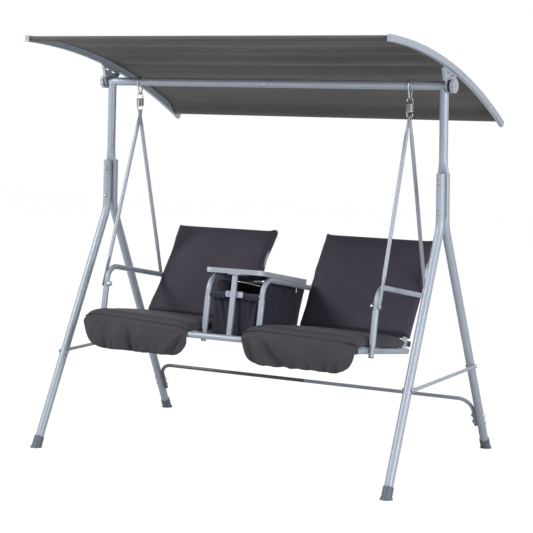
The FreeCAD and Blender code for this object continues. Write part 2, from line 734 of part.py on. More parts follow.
def build_canopy_arm(name, side):
    """A curved box-section arm with its pivot bracket."""
    half = ARM_HEIGHT / 2
    outer = arc_band(-half, half, ARM_START, ARM_STOP).extrude(V(ARM_WIDTH, 0, 0))
    inner = arc_band(-half + ARM_WALL, half - ARM_WALL, ARM_START, ARM_STOP)
    inner = inner.extrude(V(ARM_WIDTH - 2 * ARM_WALL, 0, 0))
    inner.translate(V(ARM_WALL, 0, 0))
    arm = outer.cut(inner)
    arm.translate(V(ARM_X - ARM_WIDTH / 2, 0, 0))
    save(name + "_canopy_arm", mirrored(arm, side))

    pivot = V(0, 0, BEAM_AXIS)
    low = -half - GAP
    front = math.asin((BRACKET_FRONT - ARM_CENTRE.y) / (ARM_RADIUS + low))
    rear = math.asin((BRACKET_REAR - ARM_CENTRE.y) / (ARM_RADIUS + low))
    front_top = on_arc(front, low)
    rear_top = on_arc(rear, low)
    front_low, front_way = tangent_point(front_top, pivot, BRACKET_ROUND, -1)
    rear_low, rear_way = tangent_point(rear_top, pivot, BRACKET_ROUND, 1)
    bottom = pivot - V(0, 0, BRACKET_ROUND)
    outline = Part.Wire([Part.LineSegment(front_top, front_low).toShape(),
                         Part.Arc(front_low, bottom, rear_low).toShape(),
                         Part.LineSegment(rear_low, rear_top).toShape(),
                         Part.Arc(rear_top, on_arc((front + rear) / 2, low), front_top).toShape()])
    plate = Part.Face(outline).extrude(V(BRACKET_PLATE, 0, 0))
    lips = []
    for top, low_end, inward in ((front_top, front_low, 1), (rear_top, rear_low, -1)):
        way = (low_end - top)
        run = way.Length - BRACKET_ROUND
        way.normalize()
        across = V(0, -way.z, way.y) * inward
        across = across if across.y * inward > 0 else across * -1
        drop = V(top) + way * BRACKET_LIP
        end = top + way * run
        corners = [drop, end, end + across * BRACKET_PLATE, drop + across * BRACKET_PLATE, drop]
        lips.append(Part.Face(Part.makePolygon(corners)).extrude(V(-BRACKET_LIP, 0, 0)))
    bracket = fuse([plate] + lips)
    bracket = bracket.cut(hole(pivot, X_AXIS, STUD + 2 * RUN, 8 * BRACKET_PLATE))
    slot_low = low - BRACKET_SLOT_DROP - BRACKET_SLOT_WIDTH
    for share in (1 / 3, 2 / 3):
        middle = front + share * (rear - front)
        slot = arc_band(slot_low, slot_low + BRACKET_SLOT_WIDTH, arc_angle(middle, -BRACKET_SLOT_LENGTH / 2),
                        arc_angle(middle, BRACKET_SLOT_LENGTH / 2))
        bracket = bracket.cut(slot.extrude(V(2 * BRACKET_PLATE, 0, 0)))
    bracket.translate(V(BEAM_END + PLUG_FLANGE + GAP + RUN, 0, 0))
    save(name + "_canopy_bracket", mirrored(bracket, side))


def tangent_point(point, centre, radius, side):
    """Where the line from a point touches a circle in the YZ plane, on one side."""
    line = point - centre
    distance = line.Length
    base = math.atan2(line.y, line.z)
    turn = math.acos(radius / distance)
    angle = base + side * turn
    touch = centre + V(0, radius * math.sin(angle), radius * math.cos(angle))
    return touch, (touch - point).normalize()


def build_canopy_tubes():
    """Cross tubes in the cloth's front and rear hems, and the arms' end caps."""
    reach = ARM_X - ARM_WIDTH / 2 - GAP
    tubes = []
    for angle in canopy_tube_angles():
        tubes.append(tube([on_arc(angle, 0, -reach), on_arc(angle, 0, reach)], CANOPY_TUBE, BRACE_WALL))
    save("canopy_tubes", Part.makeCompound(tubes))

    caps = []
    half = ARM_HEIGHT / 2
    for name, side in SIDES:
        for angle, step in ((ARM_START, -1), (ARM_STOP, 1)):
            end = arc_angle(angle, step * ARM_CAP)
            first, last = min(angle, end), max(angle, end)
            cap = arc_band(-half, half, first, last).extrude(V(ARM_WIDTH, 0, 0))
            inside = arc_angle(angle, -step * 3 * ARM_CAP)
            first, last = min(angle, inside), max(angle, inside)
            insert = arc_band(-half + ARM_WALL + GAP, half - ARM_WALL - GAP, first, last)
            insert = insert.extrude(V(ARM_WIDTH - 2 * ARM_WALL - 2 * GAP, 0, 0))
            insert.translate(V(ARM_WALL + GAP, 0, 0))
            cap = fuse([cap, insert])
            cap.translate(V(ARM_X - ARM_WIDTH / 2, 0, 0))
            caps.append(mirrored(cap, side))
    save("canopy_arm_caps", Part.makeCompound(caps))


def build_cloth():
    """The canopy sheet: gentle cross folds in front, taut behind, a sleeve hem at each end."""
    front, rear = canopy_tube_angles()
    hem = CANOPY_TUBE / 2 + GAP
    lift = hem + CLOTH / 2
    steps = CLOTH_FOLDS + CLOTH_FLAT_FOLDS
    pitch = (rear - front) / steps
    upper = []
    lower = []
    for index in range(steps):
        start = front + index * pitch
        swing = CLOTH_FOLD_DEPTH * (1 if index % 2 else -1) if index < CLOTH_FOLDS else 0.0
        for edges, offset in ((upper, lift + CLOTH / 2), (lower, lift - CLOTH / 2)):
            edges.append(Part.Arc(on_arc(start, offset), on_arc(start + pitch / 2, offset + swing),
                                  on_arc(start + pitch, offset)).toShape())
    ends = [Part.LineSegment(on_arc(angle, lift - CLOTH / 2), on_arc(angle, lift + CLOTH / 2)).toShape()
            for angle in (front, rear)]
    sheet = Part.Face(Part.Wire(Part.__sortEdges__(upper + lower + ends)))
    width = ARM_X - ARM_WIDTH / 2 - GAP
    pieces = [sheet.extrude(V(2 * width, 0, 0))]
    for angle in (front, rear):
        centre = on_arc(angle)
        sleeve = Part.makeCylinder(hem + CLOTH, 2 * width, centre, X_AXIS)
        pieces.append(sleeve)
    cloth = fuse(pieces)
    for angle in (front, rear):
        cloth = cloth.cut(Part.makeCylinder(hem, 2 * width, on_arc(angle), X_AXIS))
    cloth.translate(V(-width, 0, 0))
    save("canopy_cloth", cloth)


def build_knob(name, side):
    """A lobed hand knob on a black collar whose stud clamps the canopy bracket."""
    start = BEAM_END + PLUG_FLANGE + GAP + BRACKET_PLATE + 2 * GAP
    face = start + KNOB_COLLAR_HEIGHT
    axis = V(0, 0, BEAM_AXIS)
    collar = Part.makeCylinder(KNOB_COLLAR / 2, KNOB_COLLAR_HEIGHT, axis + V(start, 0, 0), X_AXIS)
    stud = rod(axis + V(BEAM_END - PLUG_DEPTH / 2, 0, 0), axis + V(face, 0, 0), STUD)
    save(name + "_knob_base", mirrored(fuse([collar, stud]), side))
    face += GAP / 2
    head = Part.makeCylinder(KNOB_DIAMETER / 2, KNOB_HEIGHT, axis + V(face, 0, 0), X_AXIS)
    head = head.makeChamfer(KNOB_LOBE_DEPTH / 2, head.Edges)
    scallop = KNOB_DIAMETER / 4
    for lobe in range(KNOB_LOBES):
        angle = 2 * math.pi * lobe / KNOB_LOBES
        out = KNOB_DIAMETER / 2 + scallop - KNOB_LOBE_DEPTH
        centre = axis + V(face - 1, out * math.cos(angle), out * math.sin(angle))
        head = head.cut(Part.makeCylinder(scallop, KNOB_HEIGHT + 2, centre, X_AXIS))
    hub = Part.makeCylinder(KNOB_HUB / 2, KNOB_HUB_HEIGHT, axis + V(face + KNOB_HEIGHT, 0, 0), X_AXIS)
    save(name + "_tilt_knob", mirrored(fuse([head, hub]), side))


# Seats
def arm_height(x):
    """How high a tube's level run lies in the console frame: armrests stand above console tubes."""
    return ARMREST_TOP if abs(x) > (OUTER_RAIL_X + INNER_RAIL_X) / 2 else CONSOLE_TOP


def back_cross(x):
    """Where an armrest crosses the back frame, as seen from the side."""
    angle = math.radians(BACK_RECLINE - ARMREST_TILT)
    line = BACK.origin - CONSOLE.at(0, 0, arm_height(x))
    rise = -line.dot(CONSOLE.up) / math.cos(angle)
    return BACK.at(x, 0, rise)


def rail_cross(x):
    """Where an armrest's upright crosses the seat's side rail, as seen from the side."""
    line = SEAT.origin - CONSOLE.origin
    reach = -line.dot(CONSOLE.back) / math.cos(math.radians(SEAT_TILT - ARMREST_TILT))
    return SEAT.at(x, reach, 0)


def cross_hole(point, length=80.0):
    """A bolt hole along X."""
    return hole(point, X_AXIS, BOLT + 2 * GAP, length)


def plug(point, direction, diameter, wall):
    """A plastic end plug for a round tube."""
    direction = V(direction).normalize()
    cap = rod(point, point + direction * PLUG_FLANGE, diameter)
    insert = rod(point - direction * PLUG_DEPTH / 2, point, diameter - 2 * wall - 2 * GAP)
    return fuse([cap, insert])


def build_seat_frames():
    """Front and rear rails, side rails and back frames; returns the rails' end plugs."""
    reach = OUTER_RAIL_X + RAIL_TUBE / 2
    front = tube([SEAT.at(-reach, 0, 0), SEAT.at(reach, 0, 0)], RAIL_TUBE, RAIL_WALL)
    save("front_rail", front)
    behind = BACK_TUBE / 2 + RAIL_TUBE / 2 + GAP
    save("rear_rail", tube([BACK.at(-reach, behind, REAR_RAIL_RISE), BACK.at(reach, behind, REAR_RAIL_RISE)],
                           RAIL_TUBE, RAIL_WALL))
    plugs = []
    for sign in (-1, 1):
        plugs.append(plug(SEAT.at(sign * reach, 0, 0), V(sign, 0, 0), RAIL_TUBE, RAIL_WALL))
        plugs.append(plug(BACK.at(sign * reach, behind, REAR_RAIL_RISE), V(sign, 0, 0), RAIL_TUBE, RAIL_WALL))
    cope = rod(SEAT.at(-reach, 0, 0), SEAT.at(reach, 0, 0), RAIL_TUBE + 2 * GAP)
    for name, side in SIDES:
        rails = []
        feet = []
        for x in (side * OUTER_RAIL_X, side * INNER_RAIL_X):
            rail = tube([SEAT.at(x, 0, 0), SEAT.at(x, RAIL_LENGTH, 0)], RAIL_TUBE, RAIL_WALL)
            rails.append(rail.cut(cope).cut(cross_hole(rail_cross(x))))
            feet.append(rod(SEAT.at(x, 0, 0), SEAT.at(x, RAIL_LENGTH, 0), RAIL_TUBE + 2 * GAP))
            plugs.append(plug(SEAT.at(x, RAIL_LENGTH, 0), SEAT.back, RAIL_TUBE, RAIL_WALL))
        save(name + "_seat_rails", Part.makeCompound(rails))
        points = [BACK.at(side * INNER_RAIL_X, 0, 0), BACK.at(side * INNER_RAIL_X, 0, BACK_TOP),
                  BACK.at(side * OUTER_RAIL_X, 0, BACK_TOP), BACK.at(side * OUTER_RAIL_X, 0, 0)]
        frame = tube(points, BACK_TUBE, ARMREST_WALL, BACK_BEND)
        for foot in feet:
            frame = frame.cut(foot)
        for x in (side * OUTER_RAIL_X, side * INNER_RAIL_X):
            frame = frame.cut(cross_hole(back_cross(x), BACK_TUBE * 2))
        save(name + "_back_frame", frame)
    return plugs


def armrest_points(x):
    """Foot, bend corner and rear end of an armrest tube."""
    top = arm_height(x)
    return [CONSOLE.at(x, 0, ARMREST_BOTTOM), CONSOLE.at(x, 0, top), CONSOLE.at(x, ARMREST_LENGTH, top)]


def build_armrests():
    """Two outer armrests and two console tubes of the same bend; returns their end plugs."""
    plugs = []
    for name, side in SIDES:
        for piece, x in (("_armrest", side * ARMREST_X), ("_console_tube", side * CONSOLE_X)):
            points = armrest_points(x)
            arm = tube(points, ARMREST_TUBE, ARMREST_WALL, ARMREST_BEND)
            bolts = [rail_cross(x), back_cross(x)]
            if piece == "_armrest":
                bolts.append(CONSOLE.at(x, 0, 0))
            else:
                bolts += [CONSOLE.at(x, back, up) for back, up in console_bar_places() if up >= 0]
            for point in bolts:
                arm = arm.cut(cross_hole(point, 2 * ARMREST_TUBE))
            save(name + piece, arm)
            plugs.append(plug(points[0], CONSOLE.up * -1, ARMREST_TUBE, ARMREST_WALL))
            plugs.append(plug(points[-1], CONSOLE.back, ARMREST_TUBE, ARMREST_WALL))
    return plugs


def dome(seat, way, diameter, height):
    """A domed cap on a flat upright seat."""
    radius = (diameter * diameter / 4 + height * height) / (2 * height)
    centre = seat + way * (height - radius)
    rim = seat + Z_AXIS * (diameter / 2)
    top = seat + way * height
    middle = centre + ((rim - centre) + (top - centre)).normalize() * radius
    outline = Part.Wire([Part.LineSegment(seat, rim).toShape(), Part.Arc(rim, middle, top).toShape(),
                         Part.LineSegment(top, seat).toShape()])
    return Part.Face(outline).revolve(seat, way, 360)


def build_seat_bolts():
    """Cross bolts: rails to armrests, rear hangers and armrests to backs, front hangers, console bars."""
    frame_bolts = []
    half = ARMREST_TUBE / 2 + GAP
    outside = ARMREST_X + half + HANGER_STAND_OFF + HANGER_FLAT + 2 * GAP
    for name, side in SIDES:
        for x, rail_x in ((ARMREST_X, OUTER_RAIL_X), (CONSOLE_X, INNER_RAIL_X)):
            way = 1 if x > rail_x else -1
            far = rail_x - way * (RAIL_TUBE / 2 + GAP)
            frame_bolts.append(screw(rail_cross(side * far), V(side * way, 0, 0), abs(x - far), BOLT, 2 * BOLT))
            start = back_cross(side * (outside if x == ARMREST_X else x + way * half))
            end = back_cross(side * (rail_x - way * (BACK_TUBE / 2 + GAP)))
            frame_bolts.append(bolt(start, end, BOLT, 2 * BOLT))
        nut = CONSOLE.at(side * (ARMREST_X - half), 0, 0)
        hanger_bolt = bolt(CONSOLE.at(side * outside, 0, 0), nut, BOLT, 2 * BOLT)
        inward = V(-side, 0, 0)
        rim = nut + inward * ARMREST_KNOB_SKIRT
        cap = [rod(nut, rim, ARMREST_KNOB), dome(rim, inward, ARMREST_KNOB, ARMREST_KNOB_DOME)]
        frame_bolts.append(fuse([hanger_bolt] + cap))
        for back, up in [place for place in console_bar_places() if place[1] >= 0]:
            seat = CONSOLE.at(side * (CONSOLE_X + half), back, up)
            frame_bolts.append(screw(seat, V(-side, 0, 0), 2 * ARMREST_TUBE, SCREW, 2 * SCREW))
    save("seat_bolts", Part.makeCompound(frame_bolts))


def back_section(up, half, front, rear):
    """A cushion's cross-section at one height: crowned front, flatter rear, rounded sides."""
    side = half - BACK_PAD_SIDE
    face = front - BACK_PAD_CROWN
    hide = rear - BACK_PAD_CROWN / 2
    waist = (hide - face) / 2
    corners = [V(-side, -face, up), V(side, -face, up), V(side, hide, up), V(-side, hide, up)]
    bulges = [V(0, -front, up), V(half, waist, up), V(0, rear, up), V(-half, waist, up)]
    edges = []
    for index, bulge in enumerate(bulges):
        edges.append(Part.Arc(corners[index], bulge, corners[(index + 1) % 4]).toShape())
    return Part.Wire(edges)


def build_back_pad(name, side):
    """A padded sleeve over a back frame: crowned, drawn in at its sides, open below."""
    middle = (OUTER_RAIL_X + INNER_RAIL_X) / 2
    half = (OUTER_RAIL_X - INNER_RAIL_X) / 2 + BACK_PAD_MARGIN
    length = BACK_PAD_TO - BACK_PAD_FROM
    shares = ((0.0, 0.0, 0.90), (0.12, 0.5, 1.0), (0.5, 1.0, 1.0), (0.88, 0.5, 1.0), (1.0, 0.0, 0.78))
    wires = []
    for share, draw, swell in shares:
        wires.append(back_section(BACK_PAD_FROM + share * length, half - draw * BACK_PAD_DRAW,
                                  BACK_PAD_FRONT * swell, BACK_PAD_REAR * swell))
    pad = Part.makeLoft(wires, True, False)
    pad.translate(V(side * middle, 0, 0))
    pad = BACK.place(pad)
    points = [BACK.at(side * INNER_RAIL_X, 0, -BACK_TUBE), BACK.at(side * INNER_RAIL_X, 0, BACK_TOP),
              BACK.at(side * OUTER_RAIL_X, 0, BACK_TOP), BACK.at(side * OUTER_RAIL_X, 0, -BACK_TUBE)]
    cavity = sweep(path(points, BACK_BEND), points[0], points[1] - points[0], BACK_TUBE + 2 * GAP)
    pad = pad.cut(cavity)
    for x in (side * OUTER_RAIL_X, side * INNER_RAIL_X):
        pad = pad.cut(hole(back_cross(x), X_AXIS, 2 * BOLT + 4 * GAP, 2 * BACK_PAD_MARGIN + 4 * BOLT))
    save(name + "_back_pad", pad)


def pad_section(back, half, low, high, crown):
    """A seat pad's cross-section: flat below, rounded sides, crowned top."""
    waist = (low + high) / 2
    side = half - 5
    corners = [V(-side, back, low), V(side, back, low), V(side, back, high), V(-side, back, high)]
    edges = [Part.LineSegment(corners[0], corners[1]).toShape(),
             Part.Arc(corners[1], V(half, back, waist), corners[2]).toShape(),
             Part.Arc(corners[2], V(0, back, high + crown), corners[3]).toShape(),
             Part.Arc(corners[3], V(-half, back, waist), corners[0]).toShape()]
    return Part.Wire(edges)


def flap_shape():
    """The seat cover's hanging front: rounded lower corners and soft folds down its face."""
    low = FLAP_BOTTOM
    top = SEAT.at(0, 0, RAIL_TUBE / 2 + PAD_THICK / 2).z
    left = INNER_RAIL_X - FLAP_MARGIN
    right = OUTER_RAIL_X + FLAP_MARGIN
    rear = FRONT_RAIL_Y - RAIL_TUBE / 2 - GAP
    face = rear - FLAP_THICK
    count = 2 * FLAP_FOLDS
    step = (right - left) / count
    edges = [Part.LineSegment(V(left, rear, low), V(right, rear, low)).toShape(),
             Part.LineSegment(V(right, rear, low), V(right, face, low)).toShape()]
    for index in range(count):
        start = right - index * step
        swing = FLAP_FOLD_DEPTH * (-0.5 if index % 2 else 0.5)
        edges.append(Part.Arc(V(start, face, low), V(start - step / 2, face + swing, low),
                              V(start - step, face, low)).toShape())
    edges.append(Part.LineSegment(V(left, face, low), V(left, rear, low)).toShape())
    flap = Part.Face(Part.Wire(edges)).extrude(V(0, 0, top - low))
    for x, way in ((left, 1), (right, -1)):
        corner = Part.makeBox(FLAP_CORNER, 4 * FLAP_THICK, FLAP_CORNER)
        corner.translate(V(x if way > 0 else x - FLAP_CORNER, rear - 2 * FLAP_THICK, low))
        centre = V(x + way * FLAP_CORNER, rear - 3 * FLAP_THICK, low + FLAP_CORNER)
        corner = corner.cut(Part.makeCylinder(FLAP_CORNER, 6 * FLAP_THICK, centre, Y_AXIS))
        flap = flap.cut(corner)
    return flap


def build_seat_pad(name, side):
    """A crowned seat pad pressed in by the uprights, with a front flap over the rail."""
    middle = (OUTER_RAIL_X + INNER_RAIL_X) / 2
    half = (OUTER_RAIL_X - INNER_RAIL_X) / 2 + PAD_MARGIN
    low = RAIL_TUBE / 2 + GAP
    shares = ((0.0, 0.0, 0.80, 0.3), (0.10, 0.3, 1.0, 1.0), (0.5, 1.0, 1.0, 1.3),
              (0.90, 0.3, 0.98, 1.0), (1.0, 0.0, 0.80, 0.3))
    wires = []
    for share, draw, fill, crown in shares:
        back = PAD_FRONT + share * (PAD_REAR - PAD_FRONT)
        wires.append(pad_section(back, half - draw * PAD_DRAW, low, low + PAD_THICK * fill,
                                 crown * PAD_CROWN))
    pad = Part.makeLoft(wires, True, False)
    pad.translate(V(middle, 0, 0))
    pad = SEAT.place(pad)
    for x in (ARMREST_X, CONSOLE_X):
        points = armrest_points(x)
        pad = pad.cut(rod(points[0], points[1], ARMREST_TUBE + 4 * GAP))
    for x in (OUTER_RAIL_X, INNER_RAIL_X):
        pad = pad.cut(rod(BACK.at(x, 0, 0), BACK.at(x, 0, BACK_TOP), BACK_TUBE + 4 * GAP))
    save(name + "_seat_pad", mirrored(fuse([pad, flap_shape()]), side))


# Console
def console_bar_places():
    """Where the cross bars lie in the console frame: bag front, post foot, bag rear."""
    behind = BAG_REAR_TOP + CONSOLE_BAR / 2 + GAP
    return (0, 0), (-CLAMP_PLATE - GAP, -CROSSBAR_DROP), (behind, CONSOLE_TOP)


def build_console():
    """Cross bars, upright post with its bush and clamp, storage bag and pivoting table."""
    bars = []
    for back, up in console_bar_places():
        bar = tube([CONSOLE.at(-CONSOLE_X, back, up), CONSOLE.at(CONSOLE_X, back, up)], CONSOLE_BAR,
                   (CONSOLE_BAR - SCREW) / 2 - GAP)
        for x in (-CONSOLE_X, CONSOLE_X):
            points = armrest_points(x)
            for start, end in zip(points, points[1:]):
                bar = bar.cut(rod(start, end, ARMREST_TUBE + 2 * GAP))
        bars.append(max(bar.Solids, key=lambda solid: solid.Volume))
    save("console_bars", Part.makeCompound(bars))

    post_back = -(CONSOLE_BAR / 2 + CLAMP_PLATE + POST_DEPTH / 2 + 2 * GAP)
    top = CONSOLE_TOP + ARMREST_TUBE / 2 - PIVOT_PLATE_THICK
    outer = Part.makeBox(POST_WIDTH, POST_DEPTH, POST_BELOW + top)
    outer = outer.makeFillet(POST_WALL, [edge for edge in outer.Edges if edge.Length > POST_BELOW])
    inner = Part.makeBox(POST_WIDTH - 2 * POST_WALL, POST_DEPTH - 2 * POST_WALL, POST_BELOW + top)
    inner.translate(V(POST_WALL, POST_WALL, 0))
    post = outer.cut(inner)
    corner = V(-POST_WIDTH / 2, post_back - POST_DEPTH / 2, -POST_BELOW)
    post.translate(corner)
    bush = Part.makeBox(POST_WIDTH - 2 * POST_WALL - 2 * GAP, POST_DEPTH - 2 * POST_WALL - GAP, PIVOT_DEPTH)
    bush.translate(V(-POST_WIDTH / 2 + POST_WALL + GAP, post_back - POST_DEPTH / 2 + POST_WALL + GAP / 2,
                     top - PIVOT_DEPTH))
    pin_line = hole(V(0, post_back, top), Z_AXIS, PIVOT_PIN + 2 * RUN, 4 * PIVOT_DEPTH)
    bush = bush.cut(pin_line)
    save("post_bush", CONSOLE.place(bush))
    low_screw = hole(V(0, post_back, -CROSSBAR_DROP), Y_AXIS, SCREW + 2 * GAP, 2 * POST_DEPTH)
    save("console_post", CONSOLE.place(post.cut(low_screw)))

    clamp = Part.makeBox(CLAMP_WIDTH, CLAMP_PLATE, CLAMP_HEIGHT)
    clamp.translate(V(-CLAMP_WIDTH / 2, -CONSOLE_BAR / 2 - GAP - CLAMP_PLATE, -CLAMP_HEIGHT / 2))
    screws = []
    for x in (-CLAMP_SCREW, CLAMP_SCREW):
        clamp = clamp.cut(hole(V(x, -CONSOLE_BAR / 2, 0), Y_AXIS, SCREW + 2 * GAP, CONSOLE_BAR))
        seat = V(x, -CONSOLE_BAR / 2 - CLAMP_PLATE - 2 * GAP, 0)
        screws.append(CONSOLE.place(screw(seat, Y_AXIS, CLAMP_PLATE + GAP, SCREW, 2 * SCREW)))
    save("console_clamp", CONSOLE.place(clamp))
    save("clamp_screws", Part.makeCompound(screws))

    plate_low = CONSOLE_TOP + ARMREST_TUBE / 2 - PIVOT_PLATE_THICK + GAP
    build_table(post_back, plate_low)
    build_bag()


def build_table(pivot_back, plate_low):
    """A framed table top on a pivot pin that turns in the console post."""
    low = CONSOLE_TOP + ARMREST_TUBE / 2 + 2 * GAP
    front = pivot_back - TABLE_FRONT
    block = Part.makeBox(TABLE_WIDTH, TABLE_LENGTH, TABLE_THICK)
    block = block.makeFillet(TABLE_CORNER, [edge for edge in block.Edges if edge.BoundBox.ZLength > 1])
    recess = Part.makeBox(TABLE_WIDTH - 2 * TABLE_RIM, TABLE_LENGTH - 2 * TABLE_RIM, TABLE_RECESS,
                          V(TABLE_RIM, TABLE_RIM, TABLE_THICK - TABLE_RECESS))
    hollow = Part.makeBox(TABLE_WIDTH - 2 * TABLE_RIM, TABLE_LENGTH - 2 * TABLE_RIM, TABLE_THICK / 2,
                          V(TABLE_RIM, TABLE_RIM, 0))
    top = block.cut(recess).cut(hollow)
    top.translate(V(-TABLE_WIDTH / 2, front, low))
    save("table_top", CONSOLE.place(top))
    plate = Part.makeBox(PIVOT_PLATE, PIVOT_PLATE + TABLE_FRONT, PIVOT_PLATE_THICK)
    plate.translate(V(-PIVOT_PLATE / 2, front, plate_low))
    pin = rod(V(0, pivot_back, plate_low - PIVOT_DEPTH), V(0, pivot_back, plate_low), PIVOT_PIN)
    save("table_pivot", CONSOLE.place(fuse([plate, pin])))


def side_profile(half, outline):
    """A solid across the console whose side view is the given outline of back and up values."""
    corners = [V(-half, back, up) for back, up in outline]
    return Part.Face(Part.makePolygon(corners + corners[:1])).extrude(V(2 * half, 0, 0))


def build_bag():
    """A storage bag open at its top, its front hemmed round the bar, its sides up to the tubes."""
    front = CONSOLE_BAR / 2 + GAP
    wall = BAG_WALL
    slope = (BAG_REAR_TOP - BAG_REAR_BOTTOM) / (CONSOLE_TOP - BAG_BOTTOM)
    high = CONSOLE_TOP + CONSOLE_BAR / 2
    outer = side_profile(BAG_HALF_WIDTH, [(front, BAG_BOTTOM), (BAG_REAR_BOTTOM, BAG_BOTTOM),
                                          (BAG_REAR_TOP, CONSOLE_TOP), (BAG_SHOULDER, CONSOLE_TOP),
                                          (front, BAG_FRONT_TOP)])
    inner = side_profile(BAG_HALF_WIDTH - wall, [(front + wall, BAG_BOTTOM + wall),
                                                 (BAG_REAR_BOTTOM - wall, BAG_BOTTOM + wall),
                                                 (BAG_REAR_BOTTOM - wall + slope * (high - BAG_BOTTOM - wall), high),
                                                 (front + wall, high)])
    bag = outer.cut(inner)
    bore = CONSOLE_BAR / 2 + GAP
    start = CLAMP_WIDTH / 2 + BAG_HEM_GAP
    hems = []
    for side in (-1, 1):
        ends = [V(side * start, 0, 0), V(side * BAG_HALF_WIDTH, 0, 0)]
        hems.append(rod(ends[0], ends[1], 2 * (bore + wall)))
    bag = fuse([bag] + hems)
    bar = hole(V(0, 0, 0), X_AXIS, 2 * bore, 4 * BAG_HALF_WIDTH)
    save("storage_bag", CONSOLE.place(bag.cut(bar)))


def main():
    """Build every piece."""
    os.makedirs("parts", exist_ok=True)
    build_beam()
    build_beam_plugs()
    build_feet()
    build_rear_brace()
    build_stand_bolts()
    build_springs()
    build_canopy_tubes()
    build_cloth()
    save("tube_plugs", Part.makeCompound(build_seat_frames() + build_armrests()))
    build_seat_bolts()
    build_console()
    for name, side in SIDES:
        build_stand(name, side)
        build_hook(name, side)
        build_hangers(name, side)
        build_canopy_arm(name, side)
        build_knob(name, side)
        build_back_pad(name, side)
        build_seat_pad(name, side)


main()
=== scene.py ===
import json
import math

import bpy
import numpy as np
from mathutils import Matrix, Vector


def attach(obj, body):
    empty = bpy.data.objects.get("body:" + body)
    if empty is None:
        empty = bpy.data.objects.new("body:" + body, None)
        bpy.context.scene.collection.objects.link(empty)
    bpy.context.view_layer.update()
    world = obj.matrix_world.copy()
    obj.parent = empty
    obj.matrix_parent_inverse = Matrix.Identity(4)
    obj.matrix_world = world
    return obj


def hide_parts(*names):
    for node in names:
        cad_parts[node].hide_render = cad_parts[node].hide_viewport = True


bl_info = {
    "name": "Garden swing looks",
    "version": (1, 0, 0),
    "blender": (4, 5, 0),
    "location": "View3D > Sidebar > Swing",
    "description": "Dresses the garden swing: cushions, canopy, bag, finishes and a studio stage",
    "category": "Object",
}

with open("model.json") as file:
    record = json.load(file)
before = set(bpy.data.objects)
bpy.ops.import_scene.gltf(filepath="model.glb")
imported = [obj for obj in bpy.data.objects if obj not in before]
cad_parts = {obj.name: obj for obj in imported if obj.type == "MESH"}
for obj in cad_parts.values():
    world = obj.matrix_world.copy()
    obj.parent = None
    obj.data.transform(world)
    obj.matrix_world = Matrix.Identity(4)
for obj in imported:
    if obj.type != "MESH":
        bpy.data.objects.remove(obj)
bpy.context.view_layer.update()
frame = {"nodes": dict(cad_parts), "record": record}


# Frames of the object, in metres
class Slant:
    """A leaning frame: back runs rearwards, up runs square to it."""

    def __init__(self, y, z, tilt):
        angle = math.radians(tilt)
        self.origin = np.array((0.0, y, z))
        self.back = np.array((0.0, math.cos(angle), -math.sin(angle)))
        self.up = np.array((0.0, math.sin(angle), math.cos(angle)))

    def at(self, x, back, up):
        """Points from distances across, along and above this frame."""
        x, back, up = np.broadcast_arrays(x, back, up)
        return (self.origin + x[..., None] * np.array((1.0, 0.0, 0.0))
                + back[..., None] * self.back + up[..., None] * self.up)


SEAT_TILT = 7.7
SEAT = Slant(-0.405, 0.5255, SEAT_TILT)
CONSOLE = Slant(-0.259, 0.682, 10.5)
# The back cushions lean from this point of the seat frame
BACK_FOOT = SEAT.at(0.0, 0.459, 0.0)
BACK = Slant(BACK_FOOT[1], BACK_FOOT[2], 34.0)
# Distance of each seat's middle line from the middle of the swing
MIDDLE = 0.378
# Edges that turn by more than this are drawn sharp
SHARP_ANGLE = math.radians(32)


# Settings
class SwingSettings(bpy.types.PropertyGroup):
    """What a user may change about the looks."""

    pad_wrinkle: bpy.props.FloatProperty(
        name="Cushion wrinkle", description="Height of the creases in the cushions",
        default=0.0025, min=0.0, max=0.01, unit="LENGTH")
    flap_fold: bpy.props.FloatProperty(
        name="Flap fold", description="Height of the folds in the seat flaps",
        default=0.014, min=0.0, max=0.02, unit="LENGTH")
    canopy_fold: bpy.props.FloatProperty(
        name="Canopy fold", description="Height of the cross folds in the canopy",
        default=0.008, min=0.0, max=0.02, unit="LENGTH")
    bag_fold: bpy.props.FloatProperty(
        name="Bag gather", description="Height of the gathers in the storage bag",
        default=0.008, min=0.0, max=0.015, unit="LENGTH")
    frame_colour: bpy.props.FloatVectorProperty(
        name="Frame paint", description="Colour of the painted tubes", subtype="COLOR",
        size=3, default=(0.340, 0.385, 0.455), min=0.0, max=1.0)
    pad_colour: bpy.props.FloatVectorProperty(
        name="Cushion cloth", description="Colour of the cushion cloth", subtype="COLOR",
        size=3, default=(0.033, 0.027, 0.045), min=0.0, max=1.0)
    canopy_colour: bpy.props.FloatVectorProperty(
        name="Canopy cloth", description="Colour of the canopy cloth", subtype="COLOR",
        size=3, default=(0.068, 0.065, 0.061), min=0.0, max=1.0)
    light: bpy.props.FloatProperty(
        name="Studio light", description="Strength of the soft boxes", default=1.0, min=0.0, max=5.0)


# Materials
def new_material(name, colour, rough, metal=0.0):
    """A principled material and its node tree."""
    material = bpy.data.materials.new(name)
    material.use_nodes = True
    shader = material.node_tree.nodes["Principled BSDF"]
    shader.inputs["Base Color"].default_value = (*colour, 1.0)
    shader.inputs["Roughness"].default_value = rough
    shader.inputs["Metallic"].default_value = metal
    return material, material.node_tree, shader


def noise(tree, source, scale, detail=4.0):
    """A noise texture on the given coordinates."""
    node = tree.nodes.new("ShaderNodeTexNoise")
    node.inputs["Scale"].default_value = scale
    node.inputs["Detail"].default_value = detail
    tree.links.new(source, node.inputs["Vector"])
    return node.outputs["Fac"]


